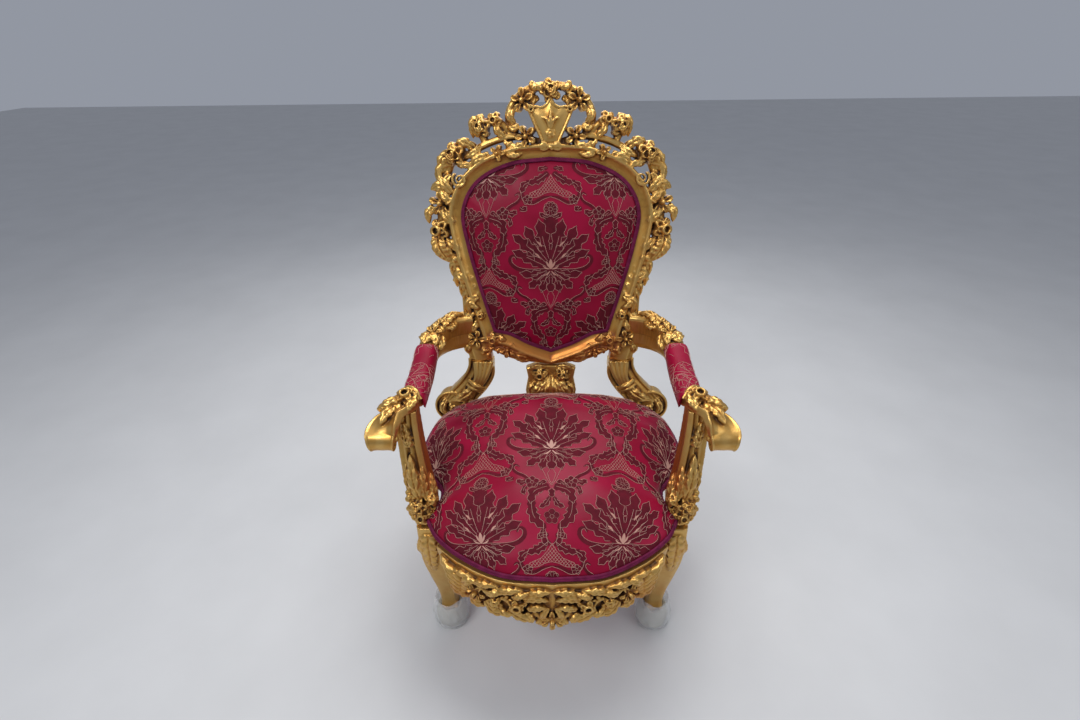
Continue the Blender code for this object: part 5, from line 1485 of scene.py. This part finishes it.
def stuffed(name, shell, held, most):
    """A search tree of the stuffed form, its cover blown tight by pressure and its tacked edge held."""
    obj = linked(name, raw_mesh(name, [shell]))
    remesh = obj.modifiers.new("even", "REMESH")
    remesh.mode = "VOXEL"
    remesh.voxel_size = COVER_VOXEL
    settle(obj)
    start = coords(obj.data)
    group = obj.vertex_groups.new(name="tacked")
    group.add([int(i) for i in np.nonzero(held(start))[0]], 1.0, "REPLACE")
    cloth = obj.modifiers.new("cover", "CLOTH")
    cloth.settings.quality = 5
    cloth.settings.mass = 0.25
    cloth.settings.tension_stiffness = 18
    cloth.settings.compression_stiffness = 18
    cloth.settings.shear_stiffness = 6
    cloth.settings.bending_stiffness = 0.4
    cloth.settings.use_pressure = True
    cloth.settings.uniform_pressure_force = COVER_PRESSURE
    cloth.settings.effector_weights.gravity = 0.0
    cloth.settings.vertex_group_mass = "tacked"
    cloth.collision_settings.use_collision = False
    scene = bpy.context.scene
    for frame_number in range(1, COVER_FRAMES + 1):
        scene.frame_set(frame_number)
    settle(obj)
    moved = coords(obj.data) - start
    scene.frame_set(1)
    far = np.linalg.norm(moved, axis=1, keepdims=True)
    moved = moved * np.minimum(1, most / np.maximum(far, 1e-9))
    set_coords(obj.data, start + smoothed(moved, edges_of(obj.data), 2))
    print(name, "cover moved", round(float(far.max()) * 1000, 1), "mm at most")
    mesh = obj.data
    tree = tree_of(mesh)
    bpy.data.objects.remove(obj)
    bpy.data.meshes.remove(mesh)
    return tree


class Crowned:
    """Maps flat cloth onto a crowned form over a plan outline."""

    def __init__(self, loop, middle, slack, point):
        self.middle = np.asarray(middle, float)
        off = loop - self.middle
        angle = np.arctan2(off[:, 1], off[:, 0])
        order = np.argsort(angle)
        self.angle = np.concatenate([angle[order] - math.tau, angle[order], angle[order] + math.tau])
        self.reach = np.tile(np.linalg.norm(off, axis=1)[order], 3)
        self.slack = slack
        self.point = point
        self.table = np.linspace(0, 1, 400)
        self.cloth = self.table * (1 + slack * self.table ** 6)
        self.cover = None

    def outline(self, loop):
        return self.middle + (loop - self.middle) * (1 + self.slack)

    def split(self, flat):
        off = flat - self.middle
        angle = np.arctan2(off[:, 1], off[:, 0])
        reach = np.interp(angle, self.angle, self.reach)
        q = np.linalg.norm(off, axis=1) / reach
        scale = np.interp(q, self.cloth, self.table)
        plan = self.middle + np.stack([np.cos(angle), np.sin(angle)], axis=1) * (reach * scale)[:, None]
        return plan, scale

    def at(self, flat):
        return self.point(*self.split(flat))

    def __call__(self, flat):
        here = self.at(flat)
        step = 0.0008
        safe = self.middle + (flat - self.middle) * 0.997
        a = self.at(safe + [step, 0]) - self.at(safe - [step, 0])
        b = self.at(safe + [0, step]) - self.at(safe - [0, step])
        up = unit(np.cross(a, b))
        if self.cover is not None:
            # Rise or sink to the simulated cover, fading out at the tacked edge
            fade = np.clip((1 - self.split(flat)[1]) / 0.03, 0, 1)
            for i in range(len(here)):
                if fade[i] > 0:
                    hit = self.cover.ray_cast(here[i] + up[i] * COVER_SEARCH, -up[i], 2 * COVER_SEARCH)[3]
                    if hit is not None:
                        here[i] += up[i] * (COVER_SEARCH - hit) * fade[i]
        return here, up


def form_shell(loop, middle, point, low):
    """A coarse closed shell of a crowned form, to simulate."""
    rings = [low]
    for scale in (1.0, 0.985, 0.96, 0.92, 0.86, 0.78, 0.66, 0.5, 0.32, 0.14):
        plan = middle + (loop - middle) * scale
        rings.append(point(plan, np.full(len(plan), scale)))
    return loft(rings)


def edge_rings(form, loop, scales=(0.999, 0.996, 0.99, 0.98, 0.965, 0.945, 0.92)):
    """Extra points close to the edge, where the form turns over fastest."""
    out = []
    for s in scales:
        q = s * (1 + form.slack * s ** 6)
        out.append(form.middle + (loop - form.middle) * q)
    return out


def seat_point(plan, scale):
    x, y = plan[:, 0], plan[:, 1]
    rear = (y - SEAT_FRONT_Y) / (SEAT_BACK_Y - SEAT_FRONT_Y)
    height = SEAT_CROWN + REAR_SWELL * rear * (2.2 * rear - 1.2)
    height = height + REAR_ARCH * rear ** 2 * (0.3 - np.minimum(1.0, (x / ARCH_HALF) ** 2))
    crown = height * (1 - np.minimum(scale, 1) ** (3 + 3 * rear)) ** (0.75 - 0.30 * rear)
    ease = scale ** 4 * (1 - scale) * 4
    pucker = 0.0016 * ease * np.sin(18 * np.arctan2(y - SEAT_MIDDLE_Y, x) + 1.2 * np.sin(5 * x * 10))
    z = edge_z(y) + crown + pucker
    return np.stack([x, y + SHIFT, z], axis=1)


def raked(u, v, w):
    y = BACK_Y + v * math.sin(BACK_RAKE) - w * math.cos(BACK_RAKE) + SHIFT
    z = BACK_Z + v * math.cos(BACK_RAKE) + w * math.sin(BACK_RAKE)
    return np.stack([u, y, z], axis=1)


def back_point(plan, scale):
    u, v = plan[:, 0], plan[:, 1]
    w = 0.0085 + 0.0335 * (1 - np.minimum(scale, 1) ** 2.6) ** 0.62
    ease = scale ** 4 * (1 - scale) * 4
    w = w + 0.0010 * ease * np.sin(16 * np.arctan2(v - 0.47, u) + 2.0)
    return raked(u, v, w)


def cover_point(plan, scale):
    u, v = plan[:, 0], plan[:, 1]
    w = -0.0180 - 0.0035 * (1 - np.minimum(scale, 1) ** 4) ** 0.8
    return raked(u, v, w)


def on_plane(flat, w):
    out = np.array([on_back(u, v, w) for u, v in flat])
    out[:, 1] += SHIFT
    return out


def damask_origins(middle, columns, rows):
    out = []
    for c in columns:
        for r in rows:
            shift = 0 if c % 2 == 0 else DAMASK_REPEAT / 2
            out.append(np.array([middle[0] + c * DAMASK_STEP, middle[1] + shift + r * DAMASK_REPEAT]))
    return out


def seat(cloth):
    loop = seat_outline(360)
    middle = np.array([0.0, (SEAT_FRONT_Y + SEAT_BACK_Y) / 2])
    form = Crowned(loop, middle, 0.16, seat_point)
    outline = form.outline(loop)
    drawn = pattern(damask_origins((0.0, -0.025), range(-2, 3), (-1, 0)))

    def tacked(co):
        return co[:, 2] < edge_z(co[:, 1] - SHIFT) + 0.006

    low = np.array([(x, y + SHIFT, 0.395) for x, y in loop])
    shell = form_shell(loop, middle, seat_point, low)
    form.cover = stuffed("seat_cover", shell, tacked, SEAT_MOVE)

    def skirt(flat):
        plan, _ = form.split(flat)
        x, y = plan[:, 0], plan[:, 1]
        tucked = middle + (plan - middle) * 0.93
        low = RAIL_TOP_Z + 0.0012
        rings = [np.stack([x, y + SHIFT, edge_z(y) * 0.4 + low * 0.6], axis=1),
                 np.stack([x, y + SHIFT, np.full(len(x), low)], axis=1)]
        for z in (low, 0.373):
            rings.append(np.stack([tucked[:, 0], tucked[:, 1] + SHIFT, np.full(len(x), z)], axis=1))
        return rings

    obj = laid_cloth("seat_damask", outline, drawn, form, 0.0085, cloth[:3], skirt, edge_rings(form, loop))
    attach(obj, "root")
    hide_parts("seat_cushion")
    lines = stitched("seat_threads", drawn[2], outline, form, cloth[3])
    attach(lines, "root")
    return obj


def back(cloth):
    loop = panel_outline(300, -0.0012)
    middle = np.array([0.0, (PANEL_TOP_V + PANEL_TIP_V) / 2 + 0.02])
    form = Crowned(loop, middle, 0.045, back_point)
    outline = form.outline(loop)
    drawn = pattern(damask_origins((0.0, 0.485), range(-1, 2), (-1, 0)))
    shell = form_shell(loop, middle, back_point, on_plane(loop, -0.012))

    def tacked(co):
        off = co - [0.0, BACK_Y + SHIFT, BACK_Z]
        return off @ BACK_OUT < 0.0105

    form.cover = stuffed("back_cover_cloth", shell, tacked, BACK_MOVE)

    def skirt(flat):
        plan, _ = form.split(flat)
        return [on_plane(plan, 0.003), on_plane(plan, -0.0030)]

    obj = laid_cloth("back_damask", outline, drawn, form, 0.0085, cloth[:3], skirt, edge_rings(form, loop))
    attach(obj, "root")
    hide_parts("back_pad")
    lines = stitched("back_threads", drawn[2], outline, form, cloth[3])
    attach(lines, "root")

    # The plain outside of the back, in the same cloth's satin ground
    loop = panel_outline(120, -0.0012)
    form = Crowned(loop, middle, 0.0, cover_point)

    def turned_in(flat):
        plan, _ = form.split(flat)
        return [on_plane(plan, -0.0036)]

    outer = laid_cloth("outer_back_cloth", loop, ([], [], []), form, 0.012, cloth[:3], turned_in,
                       edge_rings(form, loop, (0.99, 0.96, 0.92)))
    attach(outer, "root")
    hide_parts("back_cover")
    return obj


PAD_STEPS = 60
PAD_LINE = ((0.3275, 0.112, 0.7150), (0.324, 0.020, 0.7020), (0.321, -0.084, 0.7035))
PAD_ROUND = ((-0.0285, -0.008), (-0.0300, 0.008), (-0.022, 0.028), (0.0, 0.034), (0.022, 0.028),
             (0.0300, 0.008), (0.0285, -0.008))


def arm_pad(side, sign, cloth):
    line = even(spline(PAD_LINE, 20), PAD_STEPS)
    length = length_of(line)
    girth_line = even(spline(PAD_ROUND, 12), PAD_STEPS)
    girth = length_of(girth_line)
    tangent = unit(np.gradient(line, axis=0))
    across = unit(np.cross(tangent, [0, 0, 1.0]))
    lift = np.cross(across, tangent)

    def spread(values, at):
        steps = np.arange(PAD_STEPS)
        return np.stack([np.interp(at, steps, values[:, k]) for k in range(values.shape[1])], axis=1)

    def core(flat):
        middle = spread(line, np.clip(flat[:, 1] / length + 0.5, 0, 1) * (PAD_STEPS - 1)) * [sign, 1, 1]
        middle[:, 1] += SHIFT
        return middle

    def point(flat):
        t = np.clip(flat[:, 1] / length + 0.5, 0, 1) * (PAD_STEPS - 1)
        q = np.clip(flat[:, 0] / girth + 0.5, 0, 1) * (PAD_STEPS - 1)
        # The stuffing is pulled down at both ends
        ends = 1 - 0.16 * np.clip(np.abs(flat[:, 1]) / (length / 2), 0, 1) ** 8
        ring = spread(girth_line, q)
        high = ring[:, 1:] * np.where(ring[:, 1:] > 0.012, ends[:, None], 1)
        here = spread(line, t) + spread(across, t) * (ring[:, :1]) + spread(lift, t) * high
        near = np.clip((-0.02 - here[:, 1]) / 0.064, 0, 1)
        here[:, 1] += 0.7 * (here[:, 0] - PAD_LINE[-1][0]) * near
        here = here * [sign, 1, 1]
        here[:, 1] += SHIFT
        return here

    def place(flat):
        step = 0.0008
        a = point(flat + [step, 0]) - point(flat - [step, 0])
        b = point(flat + [0, step]) - point(flat - [0, step])
        up = unit(np.cross(a, b))
        here = point(flat)
        middle = core(flat)
        facing = np.sum(up * (here - middle), axis=1, keepdims=True)
        return here, np.where(facing < 0, -up, up)

    half = np.array([girth / 2, length / 2]) * 0.999
    corners = np.array([(-1, -1), (1, -1), (1, 1), (-1, 1), (-1, -1)]) * half
    outline = even(corners, 121)[:-1]
    sprigs = pattern([np.array([0.012, 0.150]), np.array([-0.010, -0.100])])
    drawn = ([], [], [line for k, line in enumerate(sprigs[2]) if k % 3 == 0])

    def skirt(flat):
        here = place(flat)[0]
        middle = core(flat)
        return [middle + (here - middle) * 0.86]

    obj = laid_cloth(f"arm_pad_{side}_damask", outline, drawn, place, 0.005, cloth[:3], skirt)
    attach(obj, "root")
    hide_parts(f"arm_pad_{side}")
    lines = stitched(f"arm_pad_{side}_threads", drawn[2], outline, place, cloth[3])
    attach(lines, "root")


def gimp(name, path, out, width, height, pitch, material, node):
    """A plaited trimming: three cords crossing over and under each other on a flat backing."""
    closed = np.vstack([path, path[:1]])
    count = round(length_of(closed) / pitch) * 8
    line = even(closed, count + 1)[:-1]
    ups = unit(even(np.vstack([out, out[:1]]), count + 1)[:-1])
    tangent = unit(np.roll(line, -1, axis=0) - np.roll(line, 1, axis=0))
    side = unit(np.cross(tangent, ups))
    phase = np.arange(count) / 8 * math.tau
    backing = rounded(width * 0.36, -height * 0.30, height * 0.20, 0.6, 1)
    shells = [sweep(line - ups * height * 0.15, backing, up=ups, closed=True)]
    for k in range(3):
        a = phase + k / 3 * math.tau
        across = width * 0.34 * np.sin(a)
        over = height * 0.22 * np.sin(2 * a)
        strand = line + side * across[:, None] + ups * over[:, None]
        shells.append(sweep(strand, oval(width * 0.150, height * 0.24, 5), up=ups, closed=True))
    mesh = raw_mesh(name, shells)
    obj = linked(name, mesh)
    mesh.materials.append(material)
    mesh.shade_smooth()
    co = coords(mesh)
    co[:, 1] += SHIFT
    set_coords(mesh, co)
    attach(obj, "root")
    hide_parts(node)
    return obj


def braids(material):
    edge = seat_outline(500, 0.0040)
    path = np.array([(x, y, edge_z(y) - 0.0045) for x, y in edge])
    plan = unit(path[:, :2] - [0.0, SEAT_MIDDLE_Y])
    out = np.concatenate([plan * 0.86, np.full((len(plan), 1), 0.52)], axis=1)
    gimp("seat_gimp", path, out, 0.0125, 0.0085, 0.0085, material, "seat_braid")
    loop = panel_outline(400, 0.0020)
    path = np.array([on_back(u, v, 0.0130) for u, v in loop])
    middle = np.array([0.0, 0.46])
    lean = unit(loop - middle)
    out = np.array([BACK_OUT + 0.25 * np.array([u, 0, 0]) + 0.25 * v * BACK_UP for u, v in lean])
    gimp("back_gimp", path, out, 0.0120, 0.0080, 0.0080, material, "back_braid")


def foot_wrap(side, sign, clear, stuffing):
    """Thin clear film gathered over pale foam sheet, round a front foot."""
    rng = np.random.default_rng(11 if sign > 0 else 7)
    count, rows = 96, 30
    a = np.arange(count) / count * math.tau
    waves = []
    for k in (3, 5, 7, 9, 13, 17):
        waves.append((k, rng.uniform(0, math.tau), rng.uniform(0.3, 1.0), rng.uniform(-2.5, 2.5)))

    def sleeve(grow, depth, low, high, fold):
        rings = []
        for i in range(rows):
            t = i / (rows - 1)
            z = low + (high - low) * t
            body = np.interp(t, [0, 0.08, 0.4, 0.78, 1.0], [0.80, 0.97, 1.04, 0.92, 0.76])
            crease = sum(w / k ** 0.8 * np.cos(k * a + p + s * 3 * t + fold) for k, p, w, s in waves)
            sharp = 1 - np.abs(crease) * depth
            r = 0.0475 * grow * body * sharp
            rings.append(np.stack([sign * FOOT_X + r * np.cos(a), FOOT_Y + 0.004 + SHIFT + r * np.sin(a),
                                   z + 0.003 * np.sin(5 * a + fold) * t + np.zeros(count)], axis=1))
        return rings

    def wall(rings, share):
        """A closed wall: the sleeve, and the same drawn in towards the leg by a share of its radius."""
        middle = np.array([sign * FOOT_X, FOOT_Y + SHIFT, 0])
        return loft(rings + [r + (middle - r) * [share, share, 0] for r in rings[::-1]], closed=True)

    film_wall = wall(sleeve(1.06, 0.085, 0.0032, 0.104, 0.0), 0.014)
    film_obj = linked(f"foot_wrap_{side}_film", raw_mesh("film", [film_wall]))
    foam_wall = wall(sleeve(0.88, 0.075, 0.0036, 0.070, 1.3), 0.22)
    foam_obj = linked(f"foot_wrap_{side}_foam", raw_mesh("foam", [foam_wall]))
    for obj, material in ((film_obj, clear), (foam_obj, stuffing)):
        obj.data.materials.append(material)
        obj.data.shade_smooth()
        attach(obj, "root")
    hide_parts(f"foot_wrap_{side}")


# Putting it together


def bole_front(co):
    """Red shows on the lower faces of the front rail."""
    return 0.55 * np.clip((0.372 - co[:, 2]) / 0.05, 0, 1) * np.clip((co[:, 1] + 0.36) / 0.02, 0, 1)


def bole_back(co):
    """The wide lower band under the panel is the warmest gold."""
    v = (co[:, 1] - BACK_Y) * math.sin(BACK_RAKE) + (co[:, 2] - BACK_Z) * math.cos(BACK_RAKE)
    low = np.clip((0.262 - v) / 0.05, 0, 1) * np.clip((v - 0.10) / 0.03, 0, 1)
    return 0.75 * low * np.clip((0.214 - np.abs(co[:, 0])) / 0.03, 0, 1)


def bole_support(co):
    return 0.75 * np.clip((0.318 - np.abs(co[:, 0])) / 0.02, 0, 1) * np.clip((co[:, 2] - 0.50) / 0.03, 0, 1)


def woodwork():
    gold = gilding()
    carved("back_frame_carved", back_frame(), ["back_frame"], gold, bole_back, 0.0017, 185000,
           plain=[ring_shell()])
    carved("back_splat_carved", back_splat(), ["back_splat"], gold, None, 0.0016, 30000)
    shells, base = front_rail()
    carved("front_rail_carved", shells, ["front_rail"], gold, bole_front, 0.0016, 100000, plain=base)
    for side, sign in SIDES:
        shells, post = rear_leg(sign)
        carved(f"rear_leg_{side}_carved", shells, [f"rear_leg_{side}"], gold, None, 0.0017,
               42000, plain=post)
        shells, post = front_leg(sign)
        carved(f"front_leg_{side}_carved", shells, [f"front_leg_{side}"], gold, None, 0.0018,
               20000, plain=post)
        carved(f"arm_{side}_carved", arm(sign), [f"arm_{side}"], gold, None, 0.0016, 56000)
        carved(f"arm_support_{side}_carved", arm_support(sign), [f"arm_support_{side}"], gold,
               bole_support, 0.0016, 36000)
        carved(f"side_rail_{side}_finish", side_rail(sign), [f"side_rail_{side}"], gold, None, 0.0022, 6000)
    carved("back_rail_finish", back_rail(), ["back_rail"], gold, None, 0.0022, 8000)


def soft_goods():
    cloth = [satin("damask_satin", (0.230, 0.0015, 0.022), (0.310, 0.003, 0.034)),
             velvet("damask_pile", (0.085, 0.0008, 0.008), (0.130, 0.0015, 0.013), 0.07),
             thread("damask_pale", (0.34, 0.13, 0.10), (0.56, 0.31, 0.23)),
             thread("damask_thread", (0.46, 0.20, 0.15), (0.72, 0.46, 0.34))]
    seat(cloth)
    back(cloth)
    for side, sign in SIDES:
        arm_pad(side, sign, cloth)
    braids(velvet("plum_gimp", (0.125, 0.006, 0.040), (0.21, 0.014, 0.070), 0.25, (0.9, 0.30, 0.5, 1.0)))
    clear, stuffing = film("wrap_film"), foam("wrap_foam")
    for side, sign in SIDES:
        foot_wrap(side, sign, clear, stuffing)


# The photograph's camera: frame width and focal length in pixels, place in metres, turns in degrees
PHOTO_WIDTH = 1080
FOCAL_PIXELS = 524
SENSOR_WIDTH = 36.0
CAMERA_AT = (-0.006, -1.066, 1.44)
CAMERA_TURNS = (32.5, -1.14, -0.78)


def camera():
    """The photograph's view, looking down on the chair from in front."""
    pitch, yaw, roll = (math.radians(turn) for turn in CAMERA_TURNS)
    forward = np.array([math.sin(yaw) * math.cos(pitch), math.cos(yaw) * math.cos(pitch), -math.sin(pitch)])
    right = np.array([math.cos(yaw), -math.sin(yaw), 0.0])
    up = np.cross(right, forward)
    side = math.cos(roll) * right + math.sin(roll) * up
    rise = -math.sin(roll) * right + math.cos(roll) * up
    lens = bpy.data.cameras.new("camera")
    lens.sensor_width = SENSOR_WIDTH
    lens.sensor_fit = "HORIZONTAL"
    lens.lens = FOCAL_PIXELS / PHOTO_WIDTH * SENSOR_WIDTH
    obj = bpy.data.objects.new("camera", lens)
    bpy.context.scene.collection.objects.link(obj)
    spot = (CAMERA_AT[0], CAMERA_AT[1] + SHIFT, CAMERA_AT[2])
    obj.matrix_world = Matrix(((side[0], rise[0], -forward[0], spot[0]),
                               (side[1], rise[1], -forward[1], spot[1]),
                               (side[2], rise[2], -forward[2], spot[2]), (0, 0, 0, 1)))
    bpy.context.scene.camera = obj


def lamp(name, spot, target, size, power):
    light = bpy.data.lights.new(name, "AREA")
    light.shape = "RECTANGLE"
    light.size, light.size_y = size
    light.energy = power
    obj = bpy.data.objects.new(name, light)
    obj.location = spot
    obj.rotation_euler = (Vector(target) - Vector(spot)).to_track_quat("-Z", "Y").to_euler()
    bpy.context.scene.collection.objects.link(obj)


def studio():
    mesh = bpy.data.meshes.new("floor")
    work = bmesh.new()
    bmesh.ops.create_grid(work, x_segments=2, y_segments=2, size=12.0)
    work.to_mesh(mesh)
    work.free()
    floor = linked("floor", mesh)
    made, nodes, links, shader = blank("floor_paint")
    speckle = noise(nodes, links, 3.0, 4.0)
    links.new(ramp(nodes, links, speckle, (grey(0.3, 0.60), grey(0.7, 0.64))), shader.inputs["Base Color"])
    shader.inputs["Roughness"].default_value = 0.7
    mesh.materials.append(made)
    world = bpy.data.worlds.new("studio")
    world.use_nodes = True
    back_light = world.node_tree.nodes["Background"]
    back_light.inputs["Color"].default_value = (0.80, 0.86, 1.0, 1.0)
    back_light.inputs["Strength"].default_value = 0.36
    bpy.context.scene.world = world
    lamp("key", (-1.4, -1.6, 2.9), (0, 0, 0.7), (1.4, 1.0), 38)
    lamp("fill", (1.9, -1.2, 2.0), (0, 0, 0.7), (1.2, 1.2), 8)
    lamp("top", (0.2, 0.6, 3.0), (0, 0.1, 0.6), (1.6, 1.2), 42)
    lamp("rim", (0.0, 2.2, 1.8), (0, 0.2, 0.8), (2.0, 1.0), 14)
    bpy.context.scene.view_settings.view_transform = "Standard"


camera()
studio()
woodwork()
soft_goods()
